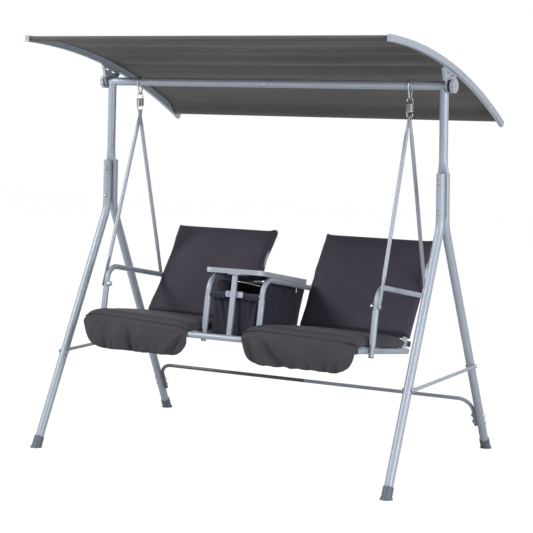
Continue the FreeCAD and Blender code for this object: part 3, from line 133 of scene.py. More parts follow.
def ramp(tree, value, low, high, low_value, high_value):
    """Map one range of a value to another."""
    node = tree.nodes.new("ShaderNodeMapRange")
    node.inputs["From Min"].default_value = low
    node.inputs["From Max"].default_value = high
    node.inputs["To Min"].default_value = low_value
    node.inputs["To Max"].default_value = high_value
    tree.links.new(value, node.inputs["Value"])
    return node.outputs["Result"]


# Sockets of the mix node that carry colours; it has several sockets of the same names
MIX_FACTOR = 0
MIX_FIRST = 6
MIX_SECOND = 7
MIX_RESULT = 2


def tint(tree, shader, colour, value, low, high):
    """Vary the base colour's brightness between two factors."""
    node = tree.nodes.new("ShaderNodeMix")
    node.data_type = "RGBA"
    node.inputs[MIX_FIRST].default_value = (*[c * low for c in colour], 1.0)
    node.inputs[MIX_SECOND].default_value = (*[min(1.0, c * high) for c in colour], 1.0)
    tree.links.new(value, node.inputs[MIX_FACTOR])
    tree.links.new(node.outputs[MIX_RESULT], shader.inputs["Base Color"])


def vary_roughness(tree, shader, value, low, high):
    """Let the roughness follow the middle range of a noise."""
    tree.links.new(ramp(tree, value, 0.3, 0.7, low, high), shader.inputs["Roughness"])


def bump(tree, shader, value, strength, distance):
    """Bump the surface by a value."""
    node = tree.nodes.new("ShaderNodeBump")
    node.inputs["Strength"].default_value = strength
    node.inputs["Distance"].default_value = distance
    tree.links.new(value, node.inputs["Height"])
    tree.links.new(node.outputs["Normal"], shader.inputs["Normal"])


def combine(tree, first, second, operation="ADD"):
    """One value from two, each a socket or a number."""
    node = tree.nodes.new("ShaderNodeMath")
    node.operation = operation
    for index, value in enumerate((first, second)):
        if isinstance(value, float):
            node.inputs[index].default_value = value
        else:
            tree.links.new(value, node.inputs[index])
    return node.outputs["Value"]


def coordinates(tree, kind="Object"):
    """Object or UV coordinates."""
    return tree.nodes.new("ShaderNodeTexCoord").outputs[kind]


def painted(name, colour):
    """Powder-coated steel: a fine orange peel, faint clouding, a soft coat."""
    rough = 0.47
    material, tree, shader = new_material(name, colour, rough, metal=0.2)
    where = coordinates(tree)
    cloud = noise(tree, where, 14.0)
    tint(tree, shader, colour, cloud, 0.93, 1.07)
    vary_roughness(tree, shader, noise(tree, where, 60.0), rough - 0.05, rough + 0.06)
    bump(tree, shader, noise(tree, where, 1400.0, 2.0), 0.12, 0.0003)
    shader.inputs["Coat Weight"].default_value = 0.25
    shader.inputs["Coat Roughness"].default_value = 0.25
    return material


def bare_metal(name, colour, rough):
    """Plated or bright steel of uneven polish."""
    material, tree, shader = new_material(name, colour, rough, metal=1.0)
    where = coordinates(tree)
    tint(tree, shader, colour, noise(tree, where, 90.0), 0.85, 1.1)
    vary_roughness(tree, shader, noise(tree, where, 250.0), rough - 0.08, rough + 0.12)
    return material


def plastic(name, colour, rough):
    """Moulded plastic with a fine grain."""
    material, tree, shader = new_material(name, colour, rough)
    where = coordinates(tree)
    tint(tree, shader, colour, noise(tree, where, 40.0), 0.9, 1.12)
    bump(tree, shader, noise(tree, where, 2200.0, 2.0), 0.18, 0.0003)
    return material


def woven(name, colour, thread=0.0011, rough=0.62, gloss=0.35, sheen=0.06, fold_shade=0.0, crease=0.0):
    """Polyester weave: crossing threads, uneven dye, a soft sheen, and if asked for, creases and streaks of
    painted shade that stand in for the shading of folds.
    """
    material, tree, shader = new_material(name, colour, rough)
    where = coordinates(tree, "UV")
    waves = []
    for direction in ("X", "Y"):
        wave = tree.nodes.new("ShaderNodeTexWave")
        wave.bands_direction = direction
        wave.inputs["Scale"].default_value = 0.5 / thread
        wave.inputs["Distortion"].default_value = 0.6
        wave.inputs["Detail"].default_value = 1.0
        tree.links.new(where, wave.inputs["Vector"])
        waves.append(wave.outputs["Fac"])
    weave = combine(tree, waves[0], waves[1], "MULTIPLY")
    cloud = noise(tree, where, 9.0)
    slub = noise(tree, where, 300.0, 2.0)
    shade = combine(tree, combine(tree, cloud, 0.55, "MULTIPLY"), combine(tree, slub, 0.45, "MULTIPLY"))
    # Painted shade: light and dark streaks across the cloth that stand in for the shading of its folds
    if fold_shade:
        stretched = tree.nodes.new("ShaderNodeMapping")
        stretched.inputs["Scale"].default_value = (0.35, 8.0, 1.0)
        tree.links.new(where, stretched.inputs["Vector"])
        fold_shade_bands = ramp(tree, noise(tree, stretched.outputs["Vector"], 1.6, 3.0), 0.3, 0.7, -fold_shade, fold_shade)
        shade = combine(tree, shade, fold_shade_bands)
    tint(tree, shader, colour, shade, 0.72, 1.3)
    vary_roughness(tree, shader, slub, rough - 0.07, rough + 0.09)
    relief = combine(tree, weave, combine(tree, slub, 0.6, "MULTIPLY"))
    if crease:
        relief = combine(tree, relief, combine(tree, noise(tree, where, 24.0, 3.0), crease, "MULTIPLY"))
    bump(tree, shader, relief, 0.3, 0.0005)
    shader.inputs["Specular IOR Level"].default_value = gloss
    shader.inputs["Sheen Weight"].default_value = sheen
    shader.inputs["Sheen Roughness"].default_value = 0.5
    return material


# Meshes
def mesh_object(name, points, faces, uvs=None, smooth=True):
    """An object from points in the shared frame, with one UV per point if given."""
    mesh = bpy.data.meshes.new(name)
    mesh.from_pydata([tuple(p) for p in points], [], [tuple(int(i) for i in f) for f in faces])
    if uvs is not None:
        layer = mesh.uv_layers.new(name="cloth")
        loops = np.zeros(len(mesh.loops), np.int32)
        mesh.loops.foreach_get("vertex_index", loops)
        layer.data.foreach_set("uv", np.asarray(uvs, np.float32)[loops].ravel())
    mesh.update()
    if smooth:
        mesh.shade_smooth()
    item = bpy.data.objects.new(name, mesh)
    bpy.context.scene.collection.objects.link(item)
    return item


def grid_faces(rows, columns, closed=False):
    """Quads of a grid of points in row order; closed joins the last column to the first."""
    wide = columns if closed else columns - 1
    faces = []
    for i in range(rows - 1):
        for j in range(wide):
            k = (j + 1) % columns
            faces.append((i * columns + j, i * columns + k, (i + 1) * columns + k, (i + 1) * columns + j))
    return faces


def two_sided(front, rear, flat):
    """A closed skin from a front and a rear grid that share their border points."""
    rows, columns = front.shape[:2]
    inside = np.full((rows, columns), -1)
    count = rows * columns
    for i in range(1, rows - 1):
        for j in range(1, columns - 1):
            inside[i, j] = count
            count += 1
    border = np.arange(rows * columns).reshape(rows, columns)
    back_index = np.where(inside >= 0, inside, border)
    points = np.concatenate([front.reshape(-1, 3), rear[1:-1, 1:-1].reshape(-1, 3)])
    uvs = np.concatenate([flat.reshape(-1, 2), flat[1:-1, 1:-1].reshape(-1, 2)])
    faces = []
    for i in range(rows - 1):
        for j in range(columns - 1):
            faces.append((border[i, j], border[i, j + 1], border[i + 1, j + 1], border[i + 1, j]))
            faces.append((back_index[i, j], back_index[i + 1, j], back_index[i + 1, j + 1],
                          back_index[i, j + 1]))
    return points, faces, uvs


def smooth_noise(seed, *axes):
    """A sum of a few sine waves of fixed random direction, about -1 to 1."""
    rng = np.random.default_rng(seed)
    total = 0.0
    for index in range(7):
        phase = rng.uniform(0, 2 * math.pi)
        value = phase
        for axis in axes:
            value = value + rng.normal() * axis
        total = total + np.sin(value) / (1 + 0.25 * index)
    return total / 3.2


def ease(value, low, high):
    """A smooth step from 0 to 1."""
    t = np.clip((value - low) / (high - low), 0, 1)
    return t * t * (3 - 2 * t)


def hump(value, middle, width):
    """A soft ridge of height 1."""
    return np.exp(-((value - middle) / width) ** 2)


def rounded(value):
    """A quarter round: 1 where the value is 0 or less, 0 where it is 1 or more."""
    return np.sqrt(np.clip(1 - np.clip(value, 0, 1) ** 2, 0, 1))


def subdivide(item):
    """Round a mesh off with one level of subdivision."""
    modifier = item.modifiers.new("rounding", "SUBSURF")
    modifier.levels = 1
    modifier.render_levels = 1


def dress(item, body, material, slot, *nodes):
    """Give a piece its body and material and hide the nodes it stands for; the record slot is not used."""
    item.data.materials.clear()
    item.data.materials.append(material)
    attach(item, body)
    if nodes:
        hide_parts(*nodes)
    return item


# Cloth settling
# Frames that a coarse skin is given
SETTLE_FRAMES = 14


def settle(front, rear, flat, limit):
    """Let a coarse skin fill and crease as cloth: how far its front and rear points move, at most limit."""
    shifts = [np.zeros_like(front), np.zeros_like(rear)]
    points, faces, _ = two_sided(front, rear, flat)
    item = mesh_object("settling skin", points, faces)
    modifier = item.modifiers.new("cloth", "CLOTH")
    cloth = modifier.settings
    cloth.quality = 4
    cloth.mass = 0.25
    cloth.tension_stiffness = 25
    cloth.compression_stiffness = 25
    cloth.shear_stiffness = 8
    cloth.bending_stiffness = 0.6
    cloth.use_pressure = True
    cloth.uniform_pressure_force = 3.0
    cloth.shrink_min = -0.03
    cloth.effector_weights.gravity = 0.0
    modifier.point_cache.frame_start = 1
    modifier.point_cache.frame_end = SETTLE_FRAMES
    scene = bpy.context.scene
    for number in range(1, SETTLE_FRAMES + 1):
        scene.frame_set(number)
    graph = bpy.context.evaluated_depsgraph_get()
    ended = np.array([v.co for v in item.evaluated_get(graph).data.vertices])
    scene.frame_set(1)
    bpy.data.meshes.remove(item.data)
    moved = ended - points
    length = np.linalg.norm(moved, axis=1, keepdims=True)
    moved *= np.minimum(1.0, limit / np.maximum(length, 1e-9))
    rows, columns = front.shape[:2]
    shifts[0] = moved[:rows * columns].reshape(rows, columns, 3)
    shifts[1] = shifts[0].copy()
    shifts[1][1:-1, 1:-1] = moved[rows * columns:].reshape(rows - 2, columns - 2, 3)
    return shifts


def spread(shift, old_rows, old_columns, new_rows, new_columns):
    """A grid of shifts read off at other row and column stops."""
    wide = np.empty((len(old_rows), len(new_columns), 3))
    full = np.empty((len(new_rows), len(new_columns), 3))
    for axis in range(3):
        for i in range(len(old_rows)):
            wide[i, :, axis] = np.interp(new_columns, old_columns, shift[i, :, axis])
        for j in range(len(new_columns)):
            full[:, j, axis] = np.interp(new_rows, old_rows, wide[:, j, axis])
    return full


def make_cushion(name, node, coarse, fine, limit, cloth):
    """A cushion from fine grids that move as coarse ones settle; both with their row and column stops."""
    front, rear, flat, old_rows, old_columns = coarse
    shifts = settle(front, rear, flat, limit)
    front, rear, flat, new_rows, new_columns = fine
    front = front + spread(shifts[0], old_rows, old_columns, new_rows, new_columns)
    rear = rear + spread(shifts[1], old_rows, old_columns, new_rows, new_columns)
    item = mesh_object(name, *two_sided(front, rear, flat))
    subdivide(item)
    dress(item, "seat", cloth, "pad_fabric", node)


# Seat cushions
# Hem of the flaps in side view, radius of the front roll, the pad's middle above the seat frame,
# its length along the frame and its half width
SEAT_HEM = np.array((-0.4262, 0.433))
ROLL_RADIUS = 0.022
PAD_MIDDLE = 0.0378
SEAT_LENGTH = 0.450
SEAT_HALF = 0.2495
# Thinning of the pad's skin towards the hem and the rear edge
HEM_ROUND = 0.012
REAR_ROUND = 0.022
# Stops across, and along the flap, the roll and the top
COARSE_SEAT = (43, (10, 5, 24))
FINE_SEAT = (131, (32, 11, 46))
# Droop and lean of the roll's left and right ends; lower corners as width, height and inward slant;
# folds as x at the seam, x at the hem, width, height; gathers at the hem as x, width, height
LEFT_FLAP = {
    "seed": 3,
    "droop": (0.010, 0.004),
    "lean": (0.008, -0.010),
    "left": (0.115, 0.090, 0.004),
    "right": (0.075, 0.070, 0.0),
    "folds": ((-0.600, -0.580, 0.022, 0.8), (-0.530, -0.515, 0.016, -0.6), (-0.460, -0.450, 0.028, 1.0),
              (-0.408, -0.388, 0.012, -1.1), (-0.350, -0.336, 0.022, 0.7), (-0.250, -0.265, 0.030, 0.4),
              (-0.135, -0.205, 0.013, -0.8), (-0.155, -0.240, 0.018, 0.5)),
    "gathers": ((-0.515, 0.007, -0.6), (-0.492, 0.007, 0.6), (-0.470, 0.006, -0.4), (-0.385, 0.006, -0.5),
                (-0.366, 0.006, 0.6), (-0.345, 0.006, -0.5), (-0.325, 0.006, 0.5), (-0.300, 0.007, -0.4),
                (-0.262, 0.008, -0.5), (-0.240, 0.007, 0.4)),
}
RIGHT_FLAP = {
    "seed": 11,
    "droop": (0.010, 0.004),
    "lean": (0.001, -0.009),
    "left": (0.080, 0.090, 0.004),
    "right": (0.085, 0.075, 0.012),
    "folds": ((0.177, 0.264, 0.022, 1.3), (0.211, 0.312, 0.017, -1.1), (0.145, 0.195, 0.016, -0.8),
              (0.380, 0.395, 0.040, 0.6), (0.470, 0.450, 0.030, -0.3), (0.605, 0.570, 0.022, 0.5)),
    "gathers": ((0.345, 0.007, 0.4), (0.365, 0.006, -0.4), (0.428, 0.007, -0.6), (0.446, 0.007, 0.6),
                (0.500, 0.007, -0.7), (0.520, 0.007, 0.6), (0.536, 0.006, -0.4), (0.553, 0.007, -0.7),
                (0.572, 0.007, 0.5)),
}


def tube_mesh(name, points, radius, sides=8):
    """A thin round line along points."""
    points = np.asarray(points, float)
    ways = np.gradient(points, axis=0)
    ways /= np.linalg.norm(ways, axis=1, keepdims=True)
    first = np.cross(ways, np.array((0.0, 1.0, 0.0)))
    first /= np.linalg.norm(first, axis=1, keepdims=True)
    second = np.cross(ways, first)
    turns = np.linspace(0, 2 * math.pi, sides, endpoint=False)
    ring = (points[:, None, :] + radius * np.cos(turns)[None, :, None] * first[:, None, :]
            + radius * np.sin(turns)[None, :, None] * second[:, None, :])
    faces = grid_faces(len(points), sides, True)
    faces.append(tuple(range(sides))[::-1])
    faces.append(tuple((len(points) - 1) * sides + k for k in range(sides)))
    return mesh_object(name, ring.reshape(-1, 3), faces)


def seat_path(hang, bend, count):
    """The cushion's middle line in side view, hem to rear: stops, points with normals, three lengths."""
    hem = SEAT_HEM
    radius = ROLL_RADIUS
    back = SEAT.back[1:]
    up = SEAT.up[1:]
    along = (hem[0] - SEAT.origin[1] - up[0] * PAD_MIDDLE) / back[0]
    corner = SEAT.origin[1:] + back * along + up * PAD_MIDDLE
    turn = math.radians(90.0 + SEAT_TILT)
    cut = radius * math.tan(turn / 2)
    drop = corner[1] - cut - hem[1]
    arc = radius * turn
    rear = SEAT_LENGTH - along - cut
    total = drop + arc + rear
    stops = np.concatenate([np.linspace(0, drop, hang)[:-1], np.linspace(drop, drop + arc, bend)[:-1],
                            np.linspace(drop + arc, total, count)])
    centre = np.array((hem[0] + radius, corner[1] - cut))
    rows = []
    for p in stops:
        if p <= drop:
            rows.append((hem[0], hem[1] + p, -1.0, 0.0))
        elif p <= drop + arc:
            a = (p - drop) / radius
            n = np.array((-math.cos(a), math.sin(a)))
            rows.append((*(centre + radius * n), *n))
        else:
            start = centre + radius * up
            rows.append((*(start + back * (p - drop - arc)), *up))
    # The lengths are the flap's, the roll's and the whole line's
    return stops, np.array(rows), drop, arc, total


def build_seat(side, settings, look, columns, path_stops):
    """One seat cushion as front and rear grids: crowned pad, rolled front, hanging flap with its folds."""
    stops, rows, drop, arc, total = seat_path(*path_stops)
    even = np.linspace(-1, 1, columns)
    across = 0.35 * np.sin(even * math.pi / 2) + 0.65 * even
    # t runs across the cushion; p runs up the flap, over the roll and back along the top
    t = side * across[:, None] * np.ones(len(stops))[None, :]
    p = np.ones(columns)[:, None] * stops[None, :]
    rise = ease(p, drop + 0.2 * arc, drop + 1.1 * arc)
    back = p - drop - arc
    flap = 1 - ease(p, drop - 0.02, drop + 0.6 * arc)
    half = SEAT_HALF - 0.006 * rise * hump(back, 0.24, 0.16) - 0.0115 * rise * hump(back, 0.098, 0.026)
    x = side * (MIDDLE + t * half)
    share = np.clip(1 - p / drop, 0, 1)
    way_over = 0.5 + 0.5 * side * t
    x = x - 0.006 * ease(1 - way_over, 0.7, 1.0) * (1 - rise) * hump(p, 0.75 * drop, 0.6 * drop)
    lean = look["lean"][0] * (1 - way_over) + look["lean"][1] * way_over
    on_top = ease(p, drop, drop + arc)
    stitch = drop + arc * (0.66 - 0.16 * way_over)
    shift = lean * (1 - share) * (1 - on_top)
    # The flap's lower corners are cut round and the roll droops at its ends
    droop = np.zeros_like(t)
    for way, (wide, tall, slant) in ((-1, look["left"]), (1, look["right"])):
        reach = np.clip((way * side * t * SEAT_HALF - SEAT_HALF + wide) / wide, 0, 0.9995)
        shift = shift + tall * (1 - np.sqrt(1 - reach * reach)) * share
        x = x - way * slant * share * ease(way * side * t, 0.2, 1.0)
        droop = droop + look["droop"][(way + 1) // 2] * ease(way * side * t, 0.68, 1.0)
    edge = np.sqrt(np.clip(1 - np.abs(t) ** 16, 0, 1))
    full = np.clip(1 - np.abs(t) ** 50, 0, 1) ** 0.35
    tip = rounded(1 - p / HEM_ROUND)
    tail = rounded((p - total + REAR_ROUND) / REAR_ROUND)
    # Thickness: a thin flap, a full pad with a crown, folds, a seam along the roll and small creases
    body = 0.0075 + 0.0170 * rise
    crown = 0.009 * rise * (1 - t ** 2) * (1 - ((back - 0.22) / 0.26) ** 2).clip(0, 1)
    fold = np.zeros_like(t)
    for high, low, width, height in look["folds"]:
        fold += height * hump(x, high + (low - high) * share, width) * ease(share, -0.05, 0.5)
    for at, width, height in look["gathers"]:
        fold += height * hump(x, at, width) * ease(share, 0.5, 1.0)
    belly = 0.007 * hump(p, 0.45 * drop, 0.5 * drop) * (1 - t ** 4)
    seam = -0.0050 * hump(p, stitch, 0.005) * edge
    soft = smooth_noise(look["seed"], x * 24, p * 30) * (0.35 + 0.65 * flap)
    soft = soft + 0.45 * smooth_noise(look["seed"] + 40, x * 75, p * 60) * (0.4 + 0.6 * flap)
    out = body * edge * tip * tail + crown + (settings.flap_fold * fold + belly) * flap * edge * tip + seam
    out = out + settings.pad_wrinkle * soft * edge * tip * tail
    inner = body * full * tip * tail
    inner = np.where((back > -arc) & (back < 0), np.minimum(inner, 0.017), inner)
    droop = droop * ease(p, 0.55 * drop, drop + 0.5 * arc) * (1 - ease(back, 0.0, 0.10))
    out = out - droop * rows[:, 3][None, :] + lean * on_top * tail
    shift = shift - 0.6 * droop * (1 - ease(p, drop, drop + arc)) * (p > 0.3 * drop)
    shift = shift + 0.0022 * smooth_noise(look["seed"] + 7, x * 90) * share ** 3
    y = rows[:, 0][None, :]
    z = rows[:, 1][None, :] + shift
    n_y = rows[:, 2][None, :]
    n_z = rows[:, 3][None, :]
    front = np.stack([x, y + n_y * out, z + n_z * out], -1)
    rear = np.stack([x, y - n_y * inner, z - n_z * inner], -1)
    flat = np.stack([x, p], -1)
    line = []
    for i in range(1, columns - 1):
        line.append([np.interp(stitch[i, 0], stops, front[i, :, axis]) for axis in range(3)])
    return front[:, ::-1], rear[:, ::-1], flat[:, ::-1], across, total - stops[::-1], line


class SWING_OT_seat_cushions(bpy.types.Operator):
    """Make both seat cushions with their front flaps"""

    bl_idname = "swing.seat_cushions"
    bl_label = "Seat cushions"

    def execute(self, context):
        settings = context.scene.swing
        cloth = woven("seat cloth", (0.056, 0.053, 0.063), rough=0.58, gloss=0.14, sheen=0.03, crease=24.0)
        # The seam cord along each roll is a real seam; its near-black colour is painted shade of the crease
        # it lies in
        thread = plastic("seam thread painted shade", (0.008, 0.007, 0.009), 0.8)
        for name, side, look in (("left", -1, LEFT_FLAP), ("right", 1, RIGHT_FLAP)):
            *coarse, _ = build_seat(side, settings, look, *COARSE_SEAT)
            *fine, line = build_seat(side, settings, look, *FINE_SEAT)
            make_cushion(name + "_seat_cushion", name + "_seat_pad", coarse, fine, 0.003, cloth)
            dress(tube_mesh(name + "_flap_seam", line, 0.0022), "seat", thread, "pad_fabric")
        return {"FINISHED"}


# Back cushions
# Lower and upper edge along the back's slant, and half width
BACK_LOW = 0.056
BACK_HIGH = 0.511
BACK_HALF = 0.2490
# Stops up the cushion and across it
COARSE_BACK = (36, 38)
FINE_BACK = (72, 76)
# How far the left edge stands out low down, midway and high up, how little it is drawn in there, and the
# peaked upper corners as side and size
BACK_LOOKS = {
    "left": {"seed": 21, "low": 0.009, "mid": 0.0, "high": 0.0, "straight": 0.4,
             "nubs": ((1.0, 0.3), (-1.0, 1.0))},
    "right": {"seed": 34, "low": 0.004, "mid": 0.010, "high": 0.010, "straight": 1.0,
              "nubs": ((-1.0, 0.6), (1.0, 0.6))},
}


def build_back(side, settings, look, rows, columns):
    """One back cushion as front and rear grids: drawn in at the sides, peaked corners."""
    upward = np.linspace(0, 1, rows)
    even = np.linspace(-1, 1, columns)
    upward = 0.5 + 0.5 * (0.8 * np.sin((upward - 0.5) * math.pi) + 0.2 * (2 * upward - 1))
    across = 0.8 * np.sin(even * math.pi / 2) + 0.2 * even
    # v runs up the cushion and u across it; on_left is 1 at the edge on the viewer's left
    v = upward[:, None] * np.ones(columns)[None, :]
    u = np.ones(rows)[:, None] * side * across[None, :]
    on_left = ease(-side * u, 0.0, 1.0)
    half = BACK_HALF - 0.0085 * hump(v, 0.70, 0.14) * (1 - look["straight"] * on_left)
    half = half + on_left * (look["low"] * ease(0.36 - v, 0.0, 0.30) + look["high"] * ease(v, 0.48, 0.62))
    half = half + on_left * look["mid"] * hump(v, 0.40, 0.17)
    edge = np.clip(1 - np.abs(u) ** 44, 0, 1) ** 0.36
    end = np.clip(1 - np.abs(2 * v - 1) ** 44, 0, 1) ** 0.36
    fill = edge * end
    x_rel = u * half
    s = BACK_LOW + (BACK_HIGH - BACK_LOW) * v
    for at_u, size in look["nubs"]:
        near = hump(u, at_u, 0.07) * hump(v, 1.0, 0.05)
        x_rel = x_rel + np.sign(at_u) * 0.003 * size * near
        s = s + 0.009 * size * near
    s = s - 0.002 * hump(v, 1.0, 0.1) * (1 - np.abs(u) ** 2)
    seed = look["seed"]
    wrinkle = smooth_noise(seed, x_rel * 16, s * 11) * 0.7
    pull = sum(hump(s, 0.12 + 0.08 * k, 0.016) * ease(np.abs(u), 0.55, 1.0) * (-1) ** k for k in range(5))
    dip = smooth_noise(seed + 5, x_rel * 5, s * 5)
    front = (0.0335 + 0.0045 * (1 - u * u) - 0.006 * hump(v, 1.0, 0.12) + 0.0012 * dip) * fill
    front = front + settings.pad_wrinkle * (0.5 * wrinkle + 0.45 * pull) * fill
    rear = 0.0195 * fill + settings.pad_wrinkle * 0.6 * smooth_noise(seed + 9, x_rel * 15, s * 9) * fill
    x = side * (MIDDLE + x_rel)
    return BACK.at(x, -front, s), BACK.at(x, rear, s), np.stack([x, s], -1), upward, across


class SWING_OT_back_cushions(bpy.types.Operator):
    """Make both back cushions"""

    bl_idname = "swing.back_cushions"
    bl_label = "Back cushions"

    def execute(self, context):
        settings = context.scene.swing
        cloth = woven("back cloth", tuple(settings.pad_colour), gloss=0.3)
        for name, side in (("left", -1), ("right", 1)):
            coarse = build_back(side, settings, BACK_LOOKS[name], *COARSE_BACK)
            fine = build_back(side, settings, BACK_LOOKS[name], *FINE_BACK)
            make_cushion(name + "_back_cushion", name + "_back_pad", coarse, fine, 0.004, cloth)
        return {"FINISHED"}


# Canopy
# Ends of the arms' line in side view and its rise between them
CANOPY_FRONT = np.array((-0.580, 1.702))
CANOPY_REAR = np.array((0.586, 1.384))
CANOPY_RISE = 0.068
# Half width of the sheet, radius of its sleeves, and the cross tubes' distance from the arms' ends
CANOPY_HALF = 0.7955
SLEEVE_RADIUS = 0.0102
FRONT_TUBE = 0.016
REAR_TUBE = 0.044
# Cross folds as share of the way from front to rear, width and height
CANOPY_FOLDS = (
    (0.05, 0.03, -0.5), (0.12, 0.035, 1.0), (0.20, 0.03, -0.9), (0.27, 0.026, 0.9), (0.335, 0.026, -1.1),
    (0.40, 0.026, 1.2), (0.47, 0.028, -1.0), (0.54, 0.028, 1.0), (0.615, 0.03, -0.6), (0.72, 0.05, 0.25),
)


def canopy_arc():
    """Centre, radius and end angles of the canopy's arc in side view."""
    front = CANOPY_FRONT
    rear = CANOPY_REAR
    rise = CANOPY_RISE
    chord = rear - front
    length = np.linalg.norm(chord)
    radius = length * length / (8 * rise) + rise / 2
    normal = np.array((-chord[1], chord[0])) / length
    centre = (front + rear) / 2 - normal * (radius - rise)
    angles = [math.atan2(p[0] - centre[0], p[1] - centre[1]) for p in (front, rear)]
    return centre, radius, angles


def build_canopy(settings):
    """The canopy sheet with its sleeve hems, as one strip of cloth bent round both cross tubes."""
    centre, radius, (first, last) = canopy_arc()
    begin = first + FRONT_TUBE / radius
    finish = last - REAR_TUBE / radius
    strip = []
    for angle in np.linspace(-math.pi * 1.45, 0, 22)[:-1]:
        strip.append((begin, angle, 0.0))
    for share in np.linspace(0, 1, 120):
        strip.append((begin + share * (finish - begin), None, share))
    for angle in np.linspace(math.pi, -math.pi * 0.72, 26)[1:]:
        strip.append((finish, angle, 1.0))
    columns = np.linspace(-1, 1, 121)
    x = columns * CANOPY_HALF
    inside = 1 - ease(np.abs(columns), 0.87, 0.985)
    points = []
    uvs = []
    gone = 0.0
    before = None
    for angle, turn, share in strip:
        along = np.array((math.cos(angle), -math.sin(angle)))
        out = np.array((math.sin(angle), math.cos(angle)))
        base = centre + out * radius
        if turn is None:
            fold = sum(height * hump(share, at, width) for at, width, height in CANOPY_FOLDS)
            edge = min(1.0, share / 0.03, (1 - share) / 0.03)
            uneven = 0.85 + 0.25 * np.cos(columns * 4 + 9 * share)
            wave = settings.canopy_fold * fold * edge * inside * uneven
            fine = smooth_noise(8, columns * 5, np.full_like(columns, share * 30))
            wave = wave + 0.0016 * edge * inside * fine
            wave = wave - 0.004 * edge * (1 - columns ** 2) * math.sin(math.pi * share)
            place = base + out * SLEEVE_RADIUS * (1 - 2 * ease(share, 0.93, 1.0))
        else:
            wave = np.zeros_like(columns)
            place = base + SLEEVE_RADIUS * (out * math.cos(turn) + along * math.sin(turn))
        row = np.stack([x, place[0] + out[0] * wave, place[1] + out[1] * wave], -1)
        mean = row[:, 1:].mean(0)
        if before is not None:
            gone += float(np.linalg.norm(mean - before))
        before = mean
        points.append(row)
        uvs.append(np.stack([x, np.full_like(columns, gone)], -1))
    points = np.array(points)
    faces = grid_faces(points.shape[0], points.shape[1])
    return points.reshape(-1, 3), faces, np.array(uvs).reshape(-1, 2), 2 * CANOPY_HALF, gone


class SWING_OT_canopy(bpy.types.Operator):
    """Make the canopy sheet"""

    bl_idname = "swing.canopy"
    bl_label = "Canopy sheet"

    def execute(self, context):
        settings = context.scene.swing
        colour = tuple(settings.canopy_colour)
        # The canopy cloth gets streaks of painted fold shade
        cloth = woven("canopy cloth", colour, thread=0.0009, rough=0.55, gloss=0.3, fold_shade=0.45)
        points, faces, uvs, width, length = build_canopy(settings)
        item = mesh_object("canopy_sheet", points, faces, uvs)
        solid = item.modifiers.new("cloth thickness", "SOLIDIFY")
        solid.thickness = 0.0012
        solid.offset = 0.0
        dress(item, "canopy", cloth, "canopy_fabric", "canopy_cloth")
        return {"FINISHED"}


# Storage bag
# In the console's frame: the front wall, the rear wall at the floor and at the top, half width and floor
BAG_FRONT = 0.0066
BAG_REAR_LOW = 0.357
BAG_REAR_HIGH = 0.400
BAG_HALF = 0.1085
BAG_FLOOR = -0.184
# Top edge at the front and rear walls
BAG_FRONT_TOP = -0.002
BAG_REAR_TOP = 0.069
# Each wall with the ends of its run and its stops, in order round the bag
BAG_WALLS = (("front", -1, 1, 45), ("right", 0, 1, 45), ("rear", 1, -1, 30), ("left", 1, 0, 45))
BAG_LEVELS = 40


def bag_point(wall, k, v, fold):
    """A point of the bag in the console's frame, k along its wall and v up from the floor."""
    rear = BAG_REAR_LOW + (BAG_REAR_HIGH - BAG_REAR_LOW) * v ** 2
    tuck = 0.012 * (1 - v ** 6)
    if wall == "front":
        gather = abs(math.sin(k * 7 + 1.6 * math.sin(3 * k + 2 * v) + 2.5 * v)) * (0.55 + 0.45 * v)
        gather += 0.35 * math.sin(k * 19 + 4 * v) * v ** 2
        x = k * (BAG_HALF - tuck)
        back = BAG_FRONT + 1.7 * fold * (1.35 - gather) * (1 - abs(k) ** 8) + 0.003
        top = BAG_FRONT_TOP
    elif wall == "rear":
        x = k * BAG_HALF
        back = rear - fold * 0.3 * (1 + math.sin(k * 9)) * (1 - abs(k) ** 6)
        top = BAG_REAR_TOP
    else:
        sign = 1 if wall == "right" else -1
        back = BAG_FRONT + (rear - BAG_FRONT) * k
        sway = 0.7 + 0.5 * math.sin(back * 26 + 2.5 * v) + 0.3 * math.sin(back * 60 - 7 * v)
        x = sign * (BAG_HALF - tuck * max(0.0, 1 - 4 * k) ** 2)
        x -= sign * fold * sway * math.sin(math.pi * k) ** 0.5
        top = BAG_FRONT_TOP + 0.060 * ease(back - BAG_FRONT, 0.0, 0.040)
        top += 0.011 * max(0.0, (back - 0.04) / 0.38)
    return x, back, BAG_FLOOR + (top - BAG_FLOOR) * v


def build_bag(settings):
    """The bag's walls and floor as one skin, gathered at the front."""
    loop = [(wall, k) for wall, start, end, count in BAG_WALLS for k in np.linspace(start, end, count)[:-1]]
    levels = np.linspace(0, 1, BAG_LEVELS)
    grid = np.array([[bag_point(wall, k, v, settings.bag_fold) for wall, k in loop] for v in levels])
    uvs = [(index * 0.01, v * 0.25) for v in levels for index in range(len(loop))]
    placed = CONSOLE.at(grid[..., 0], grid[..., 1], grid[..., 2])
    rows, columns = placed.shape[:2]
    faces = grid_faces(rows, columns, True)
    hub = rows * columns
    faces += [(hub, (j + 1) % columns, j) for j in range(columns)]
    points = np.concatenate([placed.reshape(-1, 3), placed[0].mean(0)[None, :]])
    return points, faces, uvs + [(0.0, 0.0)]


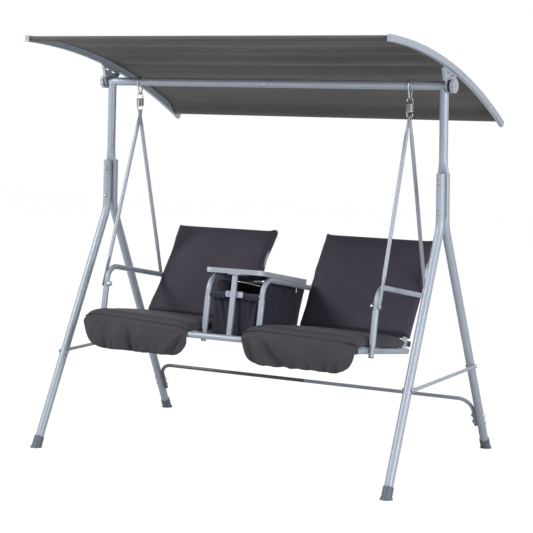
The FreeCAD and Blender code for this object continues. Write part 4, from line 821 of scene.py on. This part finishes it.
def build_hem(start, end):
    """The bag's front hem: cloth folded over the bar and drawn together below it."""
    turns = np.linspace(0, 2 * math.pi, 28, endpoint=False)
    stations = np.linspace(start, end, 26)
    radius = 0.0092
    drop = 0.0202
    rows = []
    for x in stations:
        ripple = 0.0008 * math.sin(x * 260) + 0.0006 * math.sin(x * 131 + 1)
        back = (radius + ripple) * np.sin(turns)
        up = radius * np.cos(turns)
        low = up < 0
        up = np.where(low, up * 2.2, up)
        back = np.where(low, back * (1 - 0.35 * (-up / drop)), back)
        rows.append(CONSOLE.at(np.full_like(turns, x), back, up))
    grid = np.array(rows)
    marks = np.stack(np.meshgrid(turns * 0.012, stations), -1)
    faces = grid_faces(len(stations), len(turns), True)
    return grid.reshape(-1, 3), faces, marks.reshape(-1, 2)


class SWING_OT_bag(bpy.types.Operator):
    """Make the storage bag and its hems on the front bar"""

    bl_idname = "swing.bag"
    bl_label = "Storage bag"

    def execute(self, context):
        settings = context.scene.swing
        cloth = woven("bag cloth", (0.026, 0.027, 0.043), rough=0.5, gloss=0.2)
        painted_light_lining = woven("bag inside painted light", (0.150, 0.130, 0.165), rough=0.7, gloss=0.1)
        points, faces, uvs = build_bag(settings)
        item = mesh_object("storage_pouch", points, faces, uvs)
        solid = item.modifiers.new("cloth thickness", "SOLIDIFY")
        solid.thickness = 0.0015
        solid.offset = 1.0
        # The inner skin takes the second material, a much lighter colour: painted light in the shaded
        # inside of the bag
        solid.material_offset = 1
        dress(item, "seat", cloth, "bag_fabric", "storage_bag")
        item.data.materials.append(painted_light_lining)
        for name, start, end in (("left", -0.1115, -0.0440), ("right", 0.0440, 0.1115)):
            points, faces, uvs = build_hem(start, end)
            hem = mesh_object(name + "_bag_hem", points, faces, uvs)
            dress(hem, "seat", cloth, "bag_fabric")
        return {"FINISHED"}


# Small trim
# The table in the console's frame: half width, front and rear edge, corner radius
TABLE_HALF = 0.130
TABLE_FRONT = -0.0271
TABLE_REAR = 0.3729
TABLE_CORNER = 0.006
# Uprights with a sleeve, by their distance from the middle
SLEEVES = {"left_armrest": -0.630, "left_console": -0.126, "right_console": 0.126, "right_armrest": 0.630}
# Where the sleeves begin, up the uprights in the console's frame
SLEEVE_FOOT = -0.150
# Profiles as distance along and radius
SLEEVE_PROFILE = [(0.0, 0.0112), (0.0, 0.0125), (0.133, 0.0125), (0.135, 0.0121), (0.135, 0.0112)]
CLIP_PROFILE = [(0.0, 0.0012), (0.0, 0.0034), (0.006, 0.0034), (0.008, 0.0024), (0.017, 0.0024),
                (0.017, 0.0012)]
CLIP_HALF = 0.0085
# The stay wire under the table
WIRE_POINTS = ((0.0125, -0.268, 0.7372), (0.030, -0.262, 0.7352), (0.048, -0.255, 0.7329),
               (0.080, -0.245, 0.7260), (0.1135, -0.236, 0.7185))


def turned(name, start, end, profile, sides=40):
    """A turned ring: a closed profile swept round the line from start to end."""
    start = np.asarray(start, float)
    along = np.asarray(end, float) - start
    along /= np.linalg.norm(along)
    first = np.cross(along, np.array((1.0, 0.0, 0.0)))
    first /= np.linalg.norm(first)
    second = np.cross(along, first)
    turns = np.linspace(0, 2 * math.pi, sides, endpoint=False)
    round_way = np.cos(turns)[:, None] * first + np.sin(turns)[:, None] * second
    rings = [start + s * along + r * round_way for s, r in profile + profile[:1]]
    item = mesh_object(name, np.array(rings).reshape(-1, 3), grid_faces(len(rings), sides, True))
    item.data.set_sharp_from_angle(angle=SHARP_ANGLE)
    return item


def band(name, path, low, high, thick):
    """A thin band that follows a path of points and outward ways in the console frame."""
    path = np.asarray(path, float)
    out = path[:, 2:] * thick
    grid = []
    for offset, up in ((0.0, low), (1.0, low), (1.0, high), (0.0, high)):
        xy = path[:, :2] + out * offset
        grid.append(CONSOLE.at(xy[:, 0], xy[:, 1], np.full(len(path), up)))
    points = np.stack(grid, 1)
    faces = grid_faces(len(path), 4, True)
    faces.append((0, 1, 2, 3))
    last = 4 * (len(path) - 1)
    faces.append((last + 3, last + 2, last + 1, last))
    item = mesh_object(name, points.reshape(-1, 3), faces)
    item.data.set_sharp_from_angle(angle=SHARP_ANGLE)
    return item


def corner_path(side, end, gap, reach):
    """A path round one corner of the table, just off it: x, back and the outward way at each point."""
    half = TABLE_HALF + gap
    radius = TABLE_CORNER + gap
    edge = TABLE_FRONT - gap if end < 0 else TABLE_REAR + gap
    centre = (side * (half - radius), edge - end * radius)
    path = [(side * (half - reach), edge, 0.0, end)]
    for turn in np.linspace(0, math.pi / 2, 9):
        way = (side * math.sin(turn), end * math.cos(turn))
        path.append((centre[0] + radius * way[0], centre[1] + radius * way[1], *way))
    path.append((side * half, edge - end * reach, side, 0.0))
    return path


class SWING_OT_trim(bpy.types.Operator):
    """Add the console's small trim: table corners, upright sleeves, stay wire and bag clip"""

    bl_idname = "swing.trim"
    bl_label = "Console trim"

    def execute(self, context):
        settings = context.scene.swing
        paint = painted("sleeve paint", tuple(settings.frame_colour))
        pale = plastic("corner plastic", (0.46, 0.48, 0.55), 0.35)
        for side, across in ((-1, "left"), (1, "right")):
            for end, depth in ((-1, "front"), (1, "rear")):
                path = corner_path(side, end, gap=0.0002, reach=0.022)
                name = across + "_" + depth + "_table_corner"
                item = band(name, path, low=0.0829, high=0.1023, thick=0.0006)
                dress(item, "table", pale, "table_plastic")
        for name, x in SLEEVES.items():
            foot = CONSOLE.at(x, 0.0, SLEEVE_FOOT)
            item = turned(name + "_sleeve", foot, CONSOLE.at(x, 0.0, 0.0), SLEEVE_PROFILE)
            dress(item, "seat", paint, "frame_paint")
        wire = bare_metal("wire", (0.75, 0.75, 0.78), 0.25)
        dress(tube_mesh("table_stay_wire", WIRE_POINTS, 0.0011), "seat", wire, "zinc")
        white = plastic("clip plastic", (0.72, 0.72, 0.75), 0.4)
        middle = CONSOLE.at(0.126, 0.2905, 0.050)
        half = CLIP_HALF * CONSOLE.up
        clip = turned("bag_clip", middle - half, middle + half, CLIP_PROFILE, sides=20)
        dress(clip, "seat", white, "black_plastic")
        return {"FINISHED"}


# Finishes of the rigid pieces
class SWING_OT_finishes(bpy.types.Operator):
    """Give every rigid piece its finish"""

    bl_idname = "swing.finishes"
    bl_label = "Finishes"

    def execute(self, context):
        settings = context.scene.swing
        finishes = {
            "frame_paint": painted("frame paint", tuple(settings.frame_colour)),
            "zinc": bare_metal("zinc", (0.46, 0.49, 0.54), 0.30),
            "foot_plastic": plastic("foot plastic", (0.110, 0.130, 0.165), 0.5),
            "black_plastic": plastic("black plastic", (0.012, 0.012, 0.013), 0.45),
            "knob_plastic": plastic("knob plastic", (0.36, 0.39, 0.44), 0.42),
            "table_plastic": plastic("table plastic", (0.34, 0.37, 0.43), 0.36),
        }
        # Painted shade: the rear braces take darker copies of the frame paint, the left one much darker and
        # the right one a little, for the shadow that falls on them
        shaded_braces = {
            "left_rear_brace": painted("left brace painted shade", (0.085, 0.092, 0.105)),
            "right_rear_brace": painted("right brace painted shade", (0.300, 0.330, 0.395)),
        }
        for entry in frame["record"]["subparts"]:
            item = frame["nodes"][entry["node"]]
            material = finishes.get(entry["material_slot"])
            if entry["node"] == "canopy_arm_caps":
                material = finishes["knob_plastic"]
            material = shaded_braces.get(entry["node"], material)
            if material is None:
                continue
            item.data.materials.clear()
            item.data.materials.append(material)
            item.data.shade_smooth()
            item.data.set_sharp_from_angle(angle=SHARP_ANGLE)
        return {"FINISHED"}


# Stage
def aimed(location, target):
    """A placement whose -Z points at a target."""
    way = Vector(target) - Vector(location)
    return Matrix.Translation(location) @ way.to_track_quat("-Z", "Y").to_matrix().to_4x4()


def add_area(name, location, target, size, power, cone=180.0):
    """A soft box, with a grid where its cone of light is narrow."""
    lamp = bpy.data.lights.new(name, "AREA")
    lamp.shape = "RECTANGLE"
    lamp.size, lamp.size_y = size
    lamp.energy = power
    lamp.spread = math.radians(cone)
    item = bpy.data.objects.new(name, lamp)
    item.matrix_world = aimed(location, target)
    bpy.context.scene.collection.objects.link(item)
    return item


def add_camera():
    """The camera as fitted to the photograph: a long lens, right of the swing, at beam height."""
    yaw, pitch, roll = math.radians(28.65), math.radians(6.24), math.radians(0.95)
    focal_pixels = 1588.9
    picture_pixels = 533.0
    ahead = Vector((-math.sin(yaw) * math.cos(pitch), math.cos(yaw) * math.cos(pitch), -math.sin(pitch)))
    right = Vector((math.cos(yaw), math.sin(yaw), 0.0))
    up = right.cross(ahead)
    x_axis = right * math.cos(roll) + up * math.sin(roll)
    y_axis = up * math.cos(roll) - right * math.sin(roll)
    data = bpy.data.cameras.new("camera")
    data.sensor_width = 36.0
    data.lens = 36.0 * focal_pixels / picture_pixels
    data.clip_end = 60.0
    item = bpy.data.objects.new("camera", data)
    turn = Matrix((x_axis, y_axis, -ahead)).transposed()
    item.matrix_world = Matrix.Translation((3.182, -5.821, 1.499)) @ turn.to_4x4()
    bpy.context.scene.collection.objects.link(item)
    bpy.context.scene.camera = item


def add_world():
    """A white backdrop for the camera, a softer white light for the object."""
    world = bpy.data.worlds.new("studio")
    bpy.context.scene.world = world
    world.use_nodes = True
    tree = world.node_tree
    back = tree.nodes["Background"]
    back.inputs["Color"].default_value = (1.0, 1.0, 1.0, 1.0)
    back.inputs["Strength"].default_value = 0.26
    white = tree.nodes.new("ShaderNodeBackground")
    white.inputs["Color"].default_value = (1.0, 1.0, 1.0, 1.0)
    white.inputs["Strength"].default_value = 1.0
    path = tree.nodes.new("ShaderNodeLightPath")
    mix = tree.nodes.new("ShaderNodeMixShader")
    seen = combine(tree, path.outputs["Is Camera Ray"], path.outputs["Is Glossy Ray"], "MAXIMUM")
    seen = combine(tree, seen, path.outputs["Is Transmission Ray"], "MAXIMUM")
    tree.links.new(seen, mix.inputs[0])
    tree.links.new(back.outputs[0], mix.inputs[1])
    tree.links.new(white.outputs[0], mix.inputs[2])
    tree.links.new(mix.outputs[0], tree.nodes["World Output"].inputs["Surface"])


class SWING_OT_stage(bpy.types.Operator):
    """Set up the floor, lights, world and camera"""

    bl_idname = "swing.stage"
    bl_label = "Studio stage"

    def execute(self, context):
        settings = context.scene.swing
        floor_cloth, tree, shader = new_material("studio floor", (0.80, 0.80, 0.80), 0.9)
        shader.inputs["Specular IOR Level"].default_value = 0.0
        glow = tree.nodes.new("ShaderNodeEmission")
        glow.inputs["Strength"].default_value = 1.12
        path = tree.nodes.new("ShaderNodeLightPath")
        mix = tree.nodes.new("ShaderNodeMixShader")
        tree.links.new(combine(tree, path.outputs["Is Camera Ray"], 0.86, "MULTIPLY"), mix.inputs[0])
        tree.links.new(shader.outputs[0], mix.inputs[1])
        tree.links.new(glow.outputs[0], mix.inputs[2])
        tree.links.new(mix.outputs[0], tree.nodes["Material Output"].inputs["Surface"])
        size = 14.0
        below = -0.0005
        corners = [(-size, -size, below), (size, -size, below), (size, size, below), (-size, size, below)]
        floor = mesh_object("floor", corners, [(0, 1, 2, 3)], smooth=False)
        floor.data.materials.append(floor_cloth)
        power = settings.light
        lights = [
            add_area("key", (-3.2, -3.7, 4.2), (0, 0, 0.8), (1.5, 1.5), 200 * power),
            add_area("fill", (4.8, -1.8, 1.9), (0, 0, 0.9), (2.0, 2.6), 140 * power),
            add_area("top", (0.0, 0.6, 4.8), (0, 0, 1.0), (3.4, 2.8), 110 * power),
            add_area("low card", (-2.2, -3.2, 0.15), (-0.2, 0.0, 2.3), (2.4, 1.6), 8 * power, cone=60.0),
        ]
        add_world()
        add_camera()
        context.scene.view_settings.view_transform = "Standard"
        return {"FINISHED"}


class SWING_PT_panel(bpy.types.Panel):
    """Sidebar panel with the swing's settings and steps"""

    bl_idname = "SWING_PT_panel"
    bl_label = "Garden swing"
    bl_space_type = "VIEW_3D"
    bl_region_type = "UI"
    bl_category = "Swing"

    def draw(self, context):
        settings = context.scene.swing
        for name in ("pad_wrinkle", "flap_fold", "canopy_fold", "bag_fold", "frame_colour", "pad_colour",
                     "canopy_colour", "light"):
            self.layout.prop(settings, name)
        for step in STEPS:
            self.layout.operator(step.bl_idname)


STEPS = (SWING_OT_finishes, SWING_OT_seat_cushions, SWING_OT_back_cushions, SWING_OT_canopy, SWING_OT_bag,
         SWING_OT_trim, SWING_OT_stage)
CLASSES = (SwingSettings, *STEPS, SWING_PT_panel)


def register():
    """Add the settings, steps and panel to Blender."""
    for kind in CLASSES:
        bpy.utils.register_class(kind)
    bpy.types.Scene.swing = bpy.props.PointerProperty(type=SwingSettings)


def unregister():
    """Take them out again."""
    del bpy.types.Scene.swing
    for kind in reversed(CLASSES):
        bpy.utils.unregister_class(kind)


def main():
    """Dress the swing and set the stage."""
    register()
    bpy.ops.swing.finishes()
    bpy.ops.swing.seat_cushions()
    bpy.ops.swing.back_cushions()
    bpy.ops.swing.canopy()
    bpy.ops.swing.bag()
    bpy.ops.swing.trim()
    bpy.ops.swing.stage()


if __name__ == "__main__":
    main()
